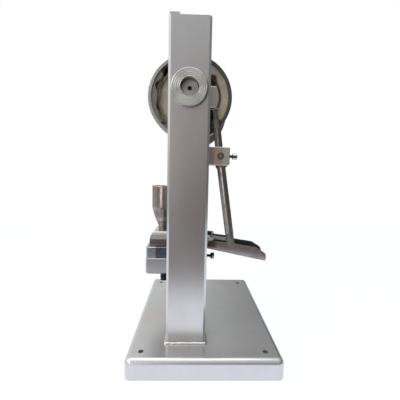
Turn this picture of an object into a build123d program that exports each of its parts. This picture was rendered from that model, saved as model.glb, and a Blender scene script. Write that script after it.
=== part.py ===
from build123d import *
import os
from math import atan2, cos, degrees, hypot, pi, radians, sin

# Single-punch tablet press, turned by hand. Millimetres, +Z up.
# The origin is the centre of the base's bolt pattern, on its underside. X runs along the main
# shaft, with the feed cam and the lever on the +X side. The hopper is on the -Y side, the chute
# on the +Y side.

# ---------------------------------------------------------------- driving dimensions
BASE_X0, BASE_X1, BASE_Y0, BASE_Y1, BASE_Z = -178, 170, -130.5, 134, 36     # cast base
BASE_CORNER_R, BASE_TOP_R, BASE_FOOT_R = 11, 9.5, 2.5
MOUNT_X, MOUNT_Y, MOUNT_R = 147, 106, 4.5       # bolt holes in the base, half spacings and radius

COLUMN_IN, COLUMN_OUT = 94, 126                 # inner and outer face of a column
COLUMN_Y0, COLUMN_Y1 = -66.5, 3.2
COLUMN_TOP = 587
COLUMN_CHAMFER = 4
WELD = 2.6                                      # weld bead round a column's foot

AXIS_Y = -31.2                                  # punches, ram and main shaft lie over this line
SHAFT_Z = 475                                   # main shaft above the base's underside
SHAFT_R = 15
RUN = 0.05                                      # radial clearance of a running fit

TIE_Y0, TIE_Y1, TIE_Z0, TIE_Z1, TIE_X = -65, -49, 579.5, 595, 120
TIE_SCREW_X = 107
SCREW_R, SCREW_HEAD_R, SCREW_HEAD_Z = 4, 6.5, 8 # M8 cap screws of the tie bar and the pivot bracket

BEAM_Y0, BEAM_Y1, BEAM_Z0, BEAM_Z1 = -57, -7, 318, 355     # beam that guides the ram
RAM_R, BUSH_R, BEAM_BOSS_R = 12.5, 17, 23
BEARING_R, FLANGE_R = 23, 31                    # shaft bearings in the columns

PLATE_X, PLATE_Y0, TABLE_Y1 = 45, -115.4, 5     # die plate, on the platform of the table
TABLE_LEDGE = 0.8                               # the platform stands out from the die plate
TABLE_Z0, TABLE_Z1, PLATE_Z1 = 132, 165, 188
DIE_R, DIE_BORE_R, DIE_Z0 = 13, 6, 169
DIE_SCREW_Z = 178
LOWER_RAM_R = 12
TABLE_BOLT_X, TABLE_BOLT_Y, TABLE_BOLT_Y2 = 34, -80, -4
TABLE_BOLT_R, TABLE_BOLT_TOP, TABLE_BOLT_FLATS = 4, 177, 13

WHEEL_R, WHEEL_X0, WHEEL_X1 = 76.5, 48, 72      # feed cam wheel
TRACK_FLOOR_X, WHEEL_FACE_X, RIM_R = 58, 70, 71

ECC_THROW, ECC_R, ECC_HALF_X = 9, 32, 12.5      # eccentric that drives the ram
ROD_RING_R, ROD_HALF_X, ROD_EYE_R = 40, 12, 10
WRIST_Z, WRIST_R = 417.5, 6
STRAP_LUG, STRAP_BOLT_Y, STRAP_BOLT_R = 52, 46, 3           # the strap's lugs and bolts, from its middle
CROSS_HALF_X, CROSS_HALF_Y, CROSS_Z0, CROSS_Z1 = 24, 23.5, 376, 450        # crosshead
RAM_Z0, SPIGOT_R = 240, 8                       # foot of the upper ram, and the spigots of both rams
PUNCH_NUT_R, PUNCH_NUT_Z0, PUNCH_NUT_Z1 = 16, 232, 246
PUNCH_HEAD_R, PUNCH_HEAD_Z, PUNCH_TIP_Z = 11, 226, 203

CAM_X0, CAM_X1, CAM_BASE_R, CAM_LOBE_R = -82, -68, 70, 82  # ejection cam
LIFT_X, LIFT_R, LIFT_ROLLER_R, LIFT_ROLLER_Z = -75, 7, 10, 378.5
LIFT_Z0, LIFT_Z1, LIFT_FORK_HALF, LIFT_PIN_R = 88, 366, 11.5, 3
LIFT_COLLAR_R, LIFT_COLLAR_Z0, LIFT_COLLAR_Z1 = 12, 230, 238
YOKE_Z0, YOKE_Z1, LOWER_RAM_Z1, LOWER_PUNCH_Z1 = 84, 98, 158, 184
SPRING_WIRE_R, SPRING_R, SPRING_TURNS = 1.2, 9.7, 8
GEAR_R, GEAR_HEIGHT, GEAR_TEETH, FILL_GEAR_Z, EJECT_GEAR_Z = 26, 10, 24, 102, 116

CRANK_X0, CRANK_X1, CRANK_LENGTH = -152, -138, 170
SPINDLE_R, GRIP_R, GRIP_X0, GRIP_X1 = 6, 15, -253, -158

PIVOT_X, PIVOT_Y, PIVOT_Z, PIVOT_R = 80, 25.2, 368.4, 4    # lever pivot
FORK_X0, FORK_X1, FORK_Y0, FORK_Y1, FORK_Z0, FORK_Z1 = 66, 97, 3.5, 41.3, 352.4, 384.7
FORK_SLOT, BRACKET_KNOB_X = 7.5, 92             # half width of the fork's slot, and its thumbscrew
BRACKET_FOOT_Y0, BRACKET_FOOT_Z1 = -45, 369     # the bracket's foot on the guide beam
BRACKET_SCREW_YS, BRACKET_SEAT_Z, BRACKET_SCREW_LENGTH = (-36, -14), 361, 23
FOLLOWER_Y, FOLLOWER_Z, FOLLOWER_R, FOLLOWER_PIN_R = 10, 475, 5.5, 3
HEAD_X0, HEAD_X1, HEAD_Y0, HEAD_Y1, HEAD_Z0, HEAD_Z1 = 72.8, 89, -1.4, 19.6, 453.6, 490.2
SLOT_Y, SLOT_Z = 48.5, 215                      # pin in the lever's lower slot
LEVER_R, UPPER_ROD_R, STUD_R = 7.8, 7, 4.4
HUB_R, HUB_HALF_X = 11, 7
HUB_FOOT, HUB_FOOT_WIDTH = 20.4, 19.2           # the hub's foot reaches this far below the pivot
FLAT_X, FLAT_R, FLAT_AT, LEVER_TIP = 8, 7, 142, 170     # flat end of the lower arm, from the pivot
SLOT_R, SLOT_HALF = 3.4, 4.1                    # its slot, round ended
STUD_Y, LOCK_NUT_AT, STUD_AT = 13.9, 52, 66     # the stud's Y at its top, and distances from the pivot
PUSH_ROD_R, PUSH_NUT_FLATS, SLOT_PIN_R = 5.3, 18, 3
PUSH_LUG_X, PUSH_LUG_Y, PUSH_EYE_X0, PUSH_EYE_X1 = 49.1, 2, 66.5, 75       # lug and eye of the push rod

SHOE_GAP = 0.3                                  # oil film and wear gap under the feed shoe
SHOE_X, SHOE_Y0, SHOE_Y1, SHOE_Z0, SHOE_Z1 = 33, -110, -54, 191, 217.6
SHOE_STEP_Z, TONGUE_Y, TONGUE_Z1 = 201, -40, 199
HOPPER_Y, HOPPER_R, HOPPER_TOP, WALL = -85.4, 23.8, 310, 1.2
NECK_R, NECK_Z = 9.95, 203.5

CHUTE_HALF_X, CHUTE_SHEET = 22, 1.5
CHUTE_Y0, CHUTE_Z0, CHUTE_Y1, CHUTE_Z1 = 5.5, 180.5, 133.8, 154.3   # underside of its floor
CHUTE_SCREW_Z = 158.4
CHUTE_TAB_X, CHUTE_TAB_Z = 14, 148              # half width and foot of the tab behind the table

NODES = {}


# ---------------------------------------------------------------- helpers
def node(name, *solids):
    """Store a sub-part, as one solid or as a group of separate solids."""
    NODES[name] = solids[0] if len(solids) == 1 else Compound(children=list(solids))


def block(x0, x1, y0, y1, z0, z1):
    return Pos((x0 + x1) / 2, (y0 + y1) / 2, (z0 + z1) / 2) * Box(x1 - x0, y1 - y0, z1 - z0)


def cyl_x(r, x0, x1, y=AXIS_Y, z=SHAFT_Z):
    return Pos((x0 + x1) / 2, y, z) * Rot(0, 90, 0) * Cylinder(r, x1 - x0)


def cyl_y(r, y0, y1, x, z):
    return Pos(x, (y0 + y1) / 2, z) * Rot(90, 0, 0) * Cylinder(r, y1 - y0)


def cyl_z(r, z0, z1, x=0, y=AXIS_Y):
    return Pos(x, y, (z0 + z1) / 2) * Cylinder(r, z1 - z0)


def cyl_between(r, start, end):
    """Round bar from one point to another."""
    start, end = Vector(*start), Vector(*end)
    return Plane(origin=start, z_dir=end - start) * Cylinder(
        r, (end - start).length, align=(Align.CENTER, Align.CENTER, Align.MIN)
    )


def hexagon_z(flats, z0, z1, x, y):
    face = RegularPolygon(flats / 2, 6, major_radius=False)
    return Pos(x, y, z0) * extrude(face, amount=z1 - z0)


def plate_yz(points, x0, x1):
    """Flat plate with a straight-sided outline in Y and Z, from x0 to x1."""
    return extrude_x(Polygon(*points, align=None), x0, x1)


def extrude_x(face, x0, x1):
    """Extrude a face drawn in Y and Z, from x0 to x1."""
    return extrude(Plane.YZ.offset(x0) * face, amount=x1 - x0, dir=(1, 0, 0))


def turned_z(points, x, y):
    """Round part from the half section (radius, height)."""
    return Pos(x, y, 0) * revolve(Plane.XZ * Polygon(*points, align=None), Axis.Z)


def edges_along(solid, axis):
    return solid.edges().filter_by(axis)


def mirrored_x(solid):
    return mirror(solid, Plane.YZ)


# ---------------------------------------------------------------- frame
def base_plate():
    base = block(BASE_X0, BASE_X1, BASE_Y0, BASE_Y1, 0, BASE_Z)
    base = fillet(edges_along(base, Axis.Z), BASE_CORNER_R)
    base = fillet(base.faces().sort_by(Axis.Z)[-1].edges(), BASE_TOP_R)
    base = fillet(base.faces().sort_by(Axis.Z)[0].edges(), BASE_FOOT_R)
    for x in (-MOUNT_X, MOUNT_X):
        for y in (-MOUNT_Y, MOUNT_Y):
            base -= cyl_z(MOUNT_R, -1, BASE_Z + 1, x, y)
    node("base_plate", base)


def right_column():
    column = block(COLUMN_IN, COLUMN_OUT, COLUMN_Y0, COLUMN_Y1, BASE_Z, COLUMN_TOP)
    outer = edges_along(column, Axis.Z).sort_by(Axis.X)[-2:]
    column = chamfer(outer, COLUMN_CHAMFER)
    bead_x0, bead_x1 = COLUMN_IN - WELD, COLUMN_OUT + WELD
    bead = block(bead_x0, bead_x1, COLUMN_Y0 - WELD, COLUMN_Y1 + WELD, BASE_Z, BASE_Z + WELD)
    bead = fillet(edges_along(bead, Axis.Z), WELD)
    bead = chamfer(bead.faces().sort_by(Axis.Z)[-1].edges(), WELD - 0.3)
    column += bead
    column -= cyl_x(BEARING_R, COLUMN_IN - 1, COLUMN_OUT + 1)
    column -= block(COLUMN_IN - 1, TIE_X, TIE_Y0, TIE_Y1, TIE_Z0, COLUMN_TOP + 1)
    return column - cyl_z(SCREW_R, TIE_Z0 - 15, TIE_Z0 + 1, TIE_SCREW_X, (TIE_Y0 + TIE_Y1) / 2)


def columns():
    column = right_column()
    node("right_column", column)
    node("left_column", mirrored_x(column))


def top_tie():
    bar = block(-TIE_X, TIE_X, TIE_Y0, TIE_Y1, TIE_Z0, TIE_Z1)
    bar = chamfer(bar.faces().sort_by(Axis.Z)[-1].edges(), 1)
    for place in tie_screw_places():
        bar -= cap_screw_hole(*place)
    node("top_tie_bar", bar)


def tie_screw_places():
    return [(x, (TIE_Y0 + TIE_Y1) / 2, TIE_Z1 - SCREW_HEAD_Z - 0.5, 21) for x in (-TIE_SCREW_X, TIE_SCREW_X)]


def bracket_screw_places():
    return [(PIVOT_X, y, BRACKET_SEAT_Z, BRACKET_SCREW_LENGTH) for y in BRACKET_SCREW_YS]


def cap_screw_hole(x, y, seat_z, length):
    counterbore = cyl_z(SCREW_HEAD_R + 0.2, seat_z, seat_z + 20, x, y)
    return counterbore + cyl_z(SCREW_R, seat_z - length, seat_z, x, y)


def cap_screws():
    """Socket cap screws that hold the tie bar and the lever's bracket."""
    screws = []
    for x, y, seat_z, length in tie_screw_places() + bracket_screw_places():
        screw = cyl_z(SCREW_R, seat_z - length, seat_z, x, y)
        screw += cyl_z(SCREW_HEAD_R, seat_z, seat_z + SCREW_HEAD_Z, x, y)
        screws.append(screw - hexagon_z(6, seat_z + SCREW_HEAD_Z / 2, seat_z + SCREW_HEAD_Z + 1, x, y))
    node("cap_screws", *screws)


def right_bearing():
    bearing = cyl_x(BEARING_R, COLUMN_IN, COLUMN_OUT)
    bearing += cyl_x(FLANGE_R, COLUMN_OUT, COLUMN_OUT + 3)
    bearing += cyl_x(FLANGE_R - 1.5, COLUMN_OUT + 3, COLUMN_OUT + 8)
    bearing = chamfer(bearing.faces().sort_by(Axis.X)[-1].edges(), 1)
    return bearing - cyl_x(SHAFT_R + RUN, COLUMN_IN - 1, COLUMN_OUT + 10)


def bearings():
    bearing = right_bearing()
    node("right_bearing", bearing)
    node("left_bearing", mirrored_x(bearing))


def guide_beam():
    beam = block(-COLUMN_IN, COLUMN_IN, BEAM_Y0, BEAM_Y1, BEAM_Z0, BEAM_Z1)
    beam = chamfer(edges_along(beam, Axis.X), 3)
    beam += cyl_z(BEAM_BOSS_R, BEAM_Z0 - 5, BEAM_Z1 + 2)
    beam -= cyl_z(BUSH_R, BEAM_Z0 - 6, BEAM_Z1 + 3)
    beam -= cyl_z(LIFT_R + RUN, BEAM_Z0 - 1, BEAM_Z1 + 1, LIFT_X)
    for place in bracket_screw_places():
        beam -= cap_screw_hole(*place)
    bush = cyl_z(BUSH_R, BEAM_Z0 - 5, BEAM_Z1 + 2) - cyl_z(RAM_R + RUN, BEAM_Z0 - 6, BEAM_Z1 + 3)
    node("guide_beam", beam)
    node("ram_guide_bush", bush)


def die_table():
    half_x, front = PLATE_X + TABLE_LEDGE, PLATE_Y0 - TABLE_LEDGE
    platform = block(-half_x, half_x, front, TABLE_Y1, TABLE_Z0, TABLE_Z1)
    front_low = platform.edges().filter_by(Axis.X).sort_by(Axis.Y)[:2].sort_by(Axis.Z)[0]
    platform = fillet(front_low, 5)
    platform = chamfer(edges_along(platform, Axis.Z).sort_by(Axis.Y)[:2], 3)
    platform = chamfer(platform.faces().sort_by(Axis.Z)[-1].edges().sort_by(Axis.Y)[:-1], 1.2)
    table = platform + block(-COLUMN_IN, COLUMN_IN, COLUMN_Y0, TABLE_Y1, TABLE_Z0, TABLE_Z1)
    table -= cyl_z(LOWER_RAM_R + RUN, TABLE_Z0 - 1, TABLE_Z1 + 1)
    table -= cyl_z(LIFT_R + RUN, TABLE_Z0 - 1, TABLE_Z1 + 1, LIFT_X)
    table -= cyl_y(3, -8, TABLE_Y1 + 1, 0, CHUTE_SCREW_Z)
    for x, y in table_bolt_places():
        table -= cyl_z(TABLE_BOLT_R, TABLE_Z0 - 1, TABLE_Z1 + 1, x, y)
    node("die_table", table)


def die_plate():
    plate = block(-PLATE_X, PLATE_X, PLATE_Y0, TABLE_Y1, TABLE_Z1, PLATE_Z1)
    plate = chamfer(edges_along(plate, Axis.Z).sort_by(Axis.Y)[:2], 3)
    plate = chamfer(plate.faces().sort_by(Axis.Z)[-1].edges(), 1)
    plate -= cyl_z(LOWER_RAM_R + RUN, TABLE_Z1 - 1, DIE_Z0)
    plate -= cyl_z(DIE_R, DIE_Z0, PLATE_Z1 + 1)
    plate -= cyl_x(4, DIE_R - 3, PLATE_X + 1, AXIS_Y, DIE_SCREW_Z)
    for x, y in table_bolt_places():
        plate -= cyl_z(TABLE_BOLT_R, TABLE_Z1 - 1, TABLE_BOLT_TOP, x, y)
    node("die_plate", plate)
    die = cyl_z(DIE_R, DIE_Z0, PLATE_Z1) - cyl_z(DIE_BORE_R, DIE_Z0 - 1, PLATE_Z1 + 1)
    node("die", chamfer(die.faces().sort_by(Axis.Z)[-1].edges().sort_by(SortBy.LENGTH)[-1], 0.6))
    screw = cyl_x(4, DIE_R, PLATE_X, AXIS_Y, DIE_SCREW_Z)
    screw += cyl_x(6.5, PLATE_X, PLATE_X + 8, AXIS_Y, DIE_SCREW_Z)
    socket = extrude(RegularPolygon(3.4, 6), amount=5)
    node("die_lock_screw", screw - Pos(PLATE_X + 5, AXIS_Y, DIE_SCREW_Z) * Rot(0, 90, 0) * socket)


def table_bolt_places():
    return [(x, y) for x in (-TABLE_BOLT_X, TABLE_BOLT_X) for y in (TABLE_BOLT_Y, TABLE_BOLT_Y2)]


def die_plate_bolts():
    bolts = []
    for x, y in table_bolt_places():
        bolt = cyl_z(TABLE_BOLT_R, TABLE_Z0 - 15, TABLE_BOLT_TOP, x, y)
        bolt += hexagon_z(TABLE_BOLT_FLATS, TABLE_Z0 - 15, TABLE_Z0 - 8, x, y)
        bolt += cyl_z(TABLE_BOLT_FLATS / 2 + 1, TABLE_Z0 - 8, TABLE_Z0 - 6.5, x, y)
        bolt += hexagon_z(TABLE_BOLT_FLATS, TABLE_Z0 - 6, TABLE_Z0, x, y)
        bolts.append(bolt)
    node("die_plate_bolts", *bolts)


def pivot_bracket():
    """Fork for the lever, screwed to the guide beam."""
    foot = block(FORK_X0, COLUMN_IN, BRACKET_FOOT_Y0, FORK_Y0, BEAM_Z1, BRACKET_FOOT_Z1)
    foot = fillet(edges_along(foot, Axis.Z).sort_by(Axis.Y)[:2], 5)
    fork = block(FORK_X0, FORK_X1, FORK_Y0, FORK_Y1, FORK_Z0, FORK_Z1)
    fork = fillet(edges_along(fork, Axis.X).sort_by(Axis.Y)[-2:], 2)
    fork = chamfer(edges_along(fork, Axis.Z).sort_by(Axis.X)[-2:].sort_by(Axis.Y)[-1], 1)
    bracket = foot + fork
    slot_x0, slot_x1 = PIVOT_X - FORK_SLOT, PIVOT_X + FORK_SLOT
    bracket -= block(slot_x0, slot_x1, PIVOT_Y - HUB_R - 3, FORK_Y1 + 1, FORK_Z0 - 1, FORK_Z1 + 1)
    bracket -= cyl_x(PIVOT_R, FORK_X0 - 1, FORK_X1 + 1, PIVOT_Y, PIVOT_Z)
    bracket -= cyl_x(PIVOT_R + 2.2, FORK_X1 - 1.5, FORK_X1 + 1, PIVOT_Y, PIVOT_Z)
    bracket -= cyl_y(2.5, PIVOT_Y, FORK_Y1 + 1, BRACKET_KNOB_X, PIVOT_Z)
    for place in bracket_screw_places():
        bracket -= cap_screw_hole(*place)
    node("pivot_bracket", bracket)
    pin = cyl_x(PIVOT_R, FORK_X0 - 2, FORK_X1 - 0.5, PIVOT_Y, PIVOT_Z)
    node("pivot_pin", chamfer(pin.edges().filter_by(GeomType.CIRCLE), 0.6))


def knurled_screw(name, x, z, tip_y, head_y0, head_y1, shank_r, head_r):
    """Thumbscrew along Y: shank, and a head with grip grooves round it."""
    head = cyl_y(head_r, head_y0, head_y1, x, z)
    head = chamfer(head.edges().filter_by(GeomType.CIRCLE), 0.5)
    grooves = 10
    for k in range(grooves):
        turn = 2 * pi * (k + 0.5) / grooves
        head -= cyl_y(0.9, head_y0 - 1, head_y1 + 1, x + head_r * cos(turn), z + head_r * sin(turn))
    node(name, cyl_y(shank_r, tip_y, head_y0, x, z) + head)


def chute():
    """Sheet channel that carries finished tablets away behind the die plate."""
    half, sheet = CHUTE_HALF_X, CHUTE_SHEET
    floor = [(CHUTE_Y0, CHUTE_Z0), (CHUTE_Y1, CHUTE_Z1), (CHUTE_Y1 + 0.2, CHUTE_Z1 + sheet),
             (CHUTE_Y0, CHUTE_Z0 + sheet)]
    channel = plate_yz(chute_side(), half - sheet, half) + plate_yz(chute_side(), -half, sheet - half)
    channel += plate_yz(floor, -half, half)
    tab = block(-CHUTE_TAB_X, CHUTE_TAB_X, TABLE_Y1, TABLE_Y1 + 2, CHUTE_TAB_Z, CHUTE_Z0 + 4)
    tab = fillet(edges_along(tab, Axis.Y).sort_by(Axis.Z)[:2], 5)
    channel += tab - block(-half, half, 0, 10, CHUTE_Z0 + 1, CHUTE_Z0 + 10)
    channel -= cyl_y(3.2, 0, 10, 0, CHUTE_SCREW_Z)
    node("chute", channel)


def chute_side():
    """Outline of a side wall: it drops gently, then steeply, and is rounded at the lip."""
    lip = [(CHUTE_Y1, CHUTE_Z1), (CHUTE_Y1 + 1.4, 160.5), (135.2, 164.5), (134.4, 168.5), (132.2, 172.2)]
    return [(CHUTE_Y0, CHUTE_Z0), *lip, (112, 184.5), (82, 188.9), (66, 191.8), (CHUTE_Y0, 198)]


# ---------------------------------------------------------------- main shaft
def main_shaft():
    shaft = cyl_x(SHAFT_R, CRANK_X1, 123.2)
    shaft += cyl_x(12, CRANK_X0, CRANK_X1) + cyl_x(8, CRANK_X0 - 16, CRANK_X0)
    shaft = chamfer(shaft.faces().sort_by(Axis.X)[-1].edges(), 1)
    shaft -= cyl_x(3, 117, 124)
    node("main_shaft", shaft)
    collars = [cyl_x(20, ECC_HALF_X, 20) - cyl_x(SHAFT_R, 0, 30)]
    collars.append(mirrored_x(collars[0]))
    node("shaft_collars", *collars)


def track_wall():
    """Waved outer wall of the feed cam's track: (angle from +Y, radius)."""
    steps = [(0, 56.5), (40, 56.5), (75, 58.5), (100, 62), (117, 66.5), (128, 67.5), (138, 65), (147, 62.3),
             (154, 64.5), (160, 67.3), (167, 64), (177, 59.8), (190, 62), (201, 64), (213, 65.3), (229, 66),
             (248, 62), (285, 58), (325, 56.5)]
    points = [(AXIS_Y + r * cos(radians(a)), SHAFT_Z + r * sin(radians(a))) for a, r in steps]
    return make_face(Spline(*points, periodic=True))


def feed_cam_wheel():
    wheel = cyl_x(WHEEL_R, WHEEL_X0, WHEEL_X1)
    wheel = chamfer(wheel.edges().filter_by(GeomType.CIRCLE), 0.8)
    wheel -= cyl_x(RIM_R, WHEEL_FACE_X, WHEEL_X1 + 1)
    wheel -= extrude_x(track_wall(), TRACK_FLOOR_X, WHEEL_X1 + 1)
    wheel += cyl_x(50, TRACK_FLOOR_X - 1, TRACK_FLOOR_X + 1.5, AXIS_Y - 2)
    wheel += cyl_x(23, TRACK_FLOOR_X, WHEEL_FACE_X, AXIS_Y - 2)
    wheel += cyl_x(24, WHEEL_X0 - 10, WHEEL_X0)
    node("feed_cam_wheel", wheel - cyl_x(SHAFT_R, 0, 90))


def eccentric_sheave():
    sheave = cyl_x(ECC_R, -ECC_HALF_X, ECC_HALF_X, AXIS_Y, SHAFT_Z + ECC_THROW)
    node("eccentric_sheave", sheave - cyl_x(SHAFT_R, -20, 20))


def ejection_cam():
    """Cam disc whose lobe covers about a quarter turn over the lift roller."""
    lobe = Pos(AXIS_Y, SHAFT_Z) * lobe_face()
    cam = cyl_x(CAM_BASE_R, CAM_X0, CAM_X1) + extrude_x(lobe, CAM_X0, CAM_X1)
    cam += cyl_x(24, CAM_X1, CAM_X1 + 12)
    node("ejection_cam", cam - cyl_x(SHAFT_R, -100, 0))


def lobe_face():
    def polar(r, angle):
        return (r * cos(radians(angle)), r * sin(radians(angle)))

    start, end, ramp = -2, -103, 14
    outline = [
        Line((0, 0), polar(CAM_BASE_R, start + ramp)),
        Line(polar(CAM_BASE_R, start + ramp), polar(CAM_LOBE_R, start)),
        ThreePointArc(polar(CAM_LOBE_R, start), polar(CAM_LOBE_R, (start + end) / 2), polar(CAM_LOBE_R, end)),
        Line(polar(CAM_LOBE_R, end), polar(CAM_BASE_R, end - ramp)),
        Line(polar(CAM_BASE_R, end - ramp), (0, 0)),
    ]
    return make_face(outline)


def crank():
    tip_z = SHAFT_Z - CRANK_LENGTH
    arm = cyl_x(22, CRANK_X0, CRANK_X1 + 2) + cyl_x(15, CRANK_X0, CRANK_X1, AXIS_Y, tip_z)
    near_shaft, near_tip = 15, 11                   # half widths of the arm
    web = [(AXIS_Y - near_shaft, SHAFT_Z), (AXIS_Y - near_tip, tip_z), (AXIS_Y + near_tip, tip_z),
           (AXIS_Y + near_shaft, SHAFT_Z)]
    arm += plate_yz(web, CRANK_X0 + 1, CRANK_X1 - 1)
    arm -= cyl_x(12, CRANK_X0 - 1, CRANK_X1) + cyl_x(SHAFT_R, CRANK_X1, CRANK_X1 + 3)
    arm -= cyl_x(SPINDLE_R, CRANK_X0 - 1, CRANK_X1 + 1, AXIS_Y, tip_z)
    node("crank_arm", arm)
    washer = cyl_x(17, CRANK_X0 - 2.5, CRANK_X0)
    hexagon = extrude(RegularPolygon(12, 6, major_radius=False), amount=10)
    nut = washer + Pos(CRANK_X0 - 12.5, AXIS_Y, SHAFT_Z) * Rot(0, 90, 0) * hexagon
    node("crank_nut", nut - cyl_x(8, CRANK_X0 - 20, CRANK_X0 + 1))
    spindle = cyl_x(SPINDLE_R, GRIP_X0 - 1, CRANK_X1, AXIS_Y, tip_z)
    spindle += cyl_x(9, GRIP_X1 + 1, CRANK_X0, AXIS_Y, tip_z)
    spindle += cyl_x(10, GRIP_X0 - 5, GRIP_X0 - 1, AXIS_Y, tip_z)
    node("handle_spindle", spindle)
    node("handle_grip", handle_grip(tip_z))


def handle_grip(z):
    """Barrel-shaped grip that turns on its spindle."""
    length = GRIP_X1 - GRIP_X0
    end_r = GRIP_R - 3
    outline = [
        Line((0, 0), (end_r, 0)),
        ThreePointArc((end_r, 0), (GRIP_R, length / 2), (end_r, length)),
        Line((end_r, length), (0, length)),
        Line((0, length), (0, 0)),
    ]
    grip = revolve(Plane.XZ * make_face(outline), Axis.Z)
    grip = fillet(grip.edges().filter_by(GeomType.CIRCLE), 2)
    grip = Pos(GRIP_X0, AXIS_Y, z) * Rot(0, 90, 0) * grip
    return grip - cyl_x(SPINDLE_R + RUN, GRIP_X0 - 1, GRIP_X1 + 1, AXIS_Y, z)


# ---------------------------------------------------------------- connecting rod
def connecting_rod():
    """Split strap round the eccentric, with the rod and its wrist pin."""
    z = SHAFT_Z + ECC_THROW
    half = ROD_HALF_X
    ring = cyl_x(ROD_RING_R, -half, half, AXIS_Y, z)
    ring += block(-half, half, AXIS_Y - STRAP_LUG, AXIS_Y + STRAP_LUG, z - 9, z + 9)
    ring -= cyl_x(ECC_R + RUN, -half - 1, half + 1, AXIS_Y, z)
    shank = block(-half, half, AXIS_Y - 8, AXIS_Y + 8, WRIST_Z, z - ROD_RING_R + 4)
    eye = cyl_x(ROD_EYE_R, -half, half, AXIS_Y, WRIST_Z)
    lower = split_half(ring, z, below=True) + shank + eye
    lower -= cyl_x(WRIST_R, -half - 1, half + 1, AXIS_Y, WRIST_Z)
    upper = split_half(ring, z, below=False)
    bolts = []
    for y in (AXIS_Y - STRAP_BOLT_Y, AXIS_Y + STRAP_BOLT_Y):
        lower -= cyl_z(STRAP_BOLT_R, z - 10, z, 0, y)
        upper -= cyl_z(STRAP_BOLT_R, z, z + 10, 0, y)
        bolt = cyl_z(STRAP_BOLT_R, z - 9, z + 9, 0, y)
        bolts.append(bolt + hexagon_z(10, z - 14, z - 9, 0, y) + hexagon_z(10, z + 9, z + 15, 0, y))
    node("connecting_rod", lower)
    node("strap_cap", upper)
    node("strap_bolts", *bolts)
    node("wrist_pin", cyl_x(WRIST_R, 0.5 - CROSS_HALF_X, CROSS_HALF_X - 0.5, AXIS_Y, WRIST_Z))


def split_half(solid, z, below):
    keep = block(-60, 60, AXIS_Y - 80, AXIS_Y + 80, z - 80 if below else z, z if below else z + 80)
    return solid & keep


# ---------------------------------------------------------------- ram
def ram():
    half_x, half_y = CROSS_HALF_X, CROSS_HALF_Y
    head = block(-half_x, half_x, AXIS_Y - half_y, AXIS_Y + half_y, CROSS_Z0, CROSS_Z1)
    head = chamfer(edges_along(head, Axis.Z), 2)
    head -= block(-13.2, 13.2, AXIS_Y - 30, AXIS_Y + 30, CROSS_Z0 + 12, CROSS_Z1 + 1)
    head -= block(-30, 30, AXIS_Y - 15.5, AXIS_Y + 15.5, CROSS_Z0 + 17, CROSS_Z1 - 8)
    head -= cyl_z(SPIGOT_R, CROSS_Z0 - 1, CROSS_Z0 + 13)
    node("crosshead", head)
    node("upper_ram", cyl_z(RAM_R, RAM_Z0, CROSS_Z0) + cyl_z(SPIGOT_R, CROSS_Z0, CROSS_Z0 + 12))
    nut = chamfer(cyl_z(PUNCH_NUT_R, PUNCH_NUT_Z0, PUNCH_NUT_Z1).edges().filter_by(GeomType.CIRCLE), 1)
    nut -= cyl_z(PUNCH_HEAD_R, PUNCH_NUT_Z0 - 1, RAM_Z0)
    node("punch_lock_nut", nut - cyl_z(RAM_R, RAM_Z0, PUNCH_NUT_Z1 + 1))
    punch = cyl_z(PUNCH_HEAD_R, PUNCH_HEAD_Z, RAM_Z0) + cyl_z(DIE_BORE_R - RUN, PUNCH_TIP_Z, PUNCH_HEAD_Z)
    node("upper_punch", punch)


# ---------------------------------------------------------------- feed lever
def lever_point(distance):
    """Point on the lower arm, at a distance from the pivot along it."""
    span = hypot(SLOT_Y - PIVOT_Y, SLOT_Z - PIVOT_Z)
    part = distance / span
    return (PIVOT_X, PIVOT_Y + part * (SLOT_Y - PIVOT_Y), PIVOT_Z + part * (SLOT_Z - PIVOT_Z))


def stud_point(distance):
    """Point on the upper rod, at a distance from the pivot along it."""
    part = distance / hypot(STUD_Y - PIVOT_Y, HEAD_Z0 - PIVOT_Z)
    return (PIVOT_X, PIVOT_Y + part * (STUD_Y - PIVOT_Y), PIVOT_Z + part * (HEAD_Z0 - PIVOT_Z))


def feed_lever():
    hub_x0, hub_x1 = PIVOT_X - HUB_HALF_X, PIVOT_X + HUB_HALF_X
    hub = cyl_x(HUB_R, hub_x0, hub_x1, PIVOT_Y, PIVOT_Z)
    foot = Pos(0, 0, -HUB_FOOT / 2) * Box(2 * HUB_HALF_X, HUB_FOOT_WIDTH, HUB_FOOT)
    hub += Pos(PIVOT_X, PIVOT_Y, PIVOT_Z) * Rot(lower_tilt(), 0, 0) * foot
    node("lever_hub", hub - cyl_x(PIVOT_R + RUN, hub_x0 - 1, hub_x1 + 1, PIVOT_Y, PIVOT_Z))
    node("lower_lever_bar", lower_arm())
    upper_rod(hub)
    node("follower_head", follower_head())
    pin = cyl_x(FOLLOWER_PIN_R, 60.2, HEAD_X0 + 1.2, FOLLOWER_Y, FOLLOWER_Z)
    node("follower_pin", pin + cyl_x(4.5, HEAD_X0 - 2.6, HEAD_X0, FOLLOWER_Y, FOLLOWER_Z))
    roller = cyl_x(FOLLOWER_R, 60.5, 69.5, FOLLOWER_Y, FOLLOWER_Z)
    roller = chamfer(roller.edges().filter_by(GeomType.CIRCLE), 0.5)
    node("follower_roller", roller - cyl_x(FOLLOWER_PIN_R + RUN, 60, 70, FOLLOWER_Y, FOLLOWER_Z))


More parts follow.
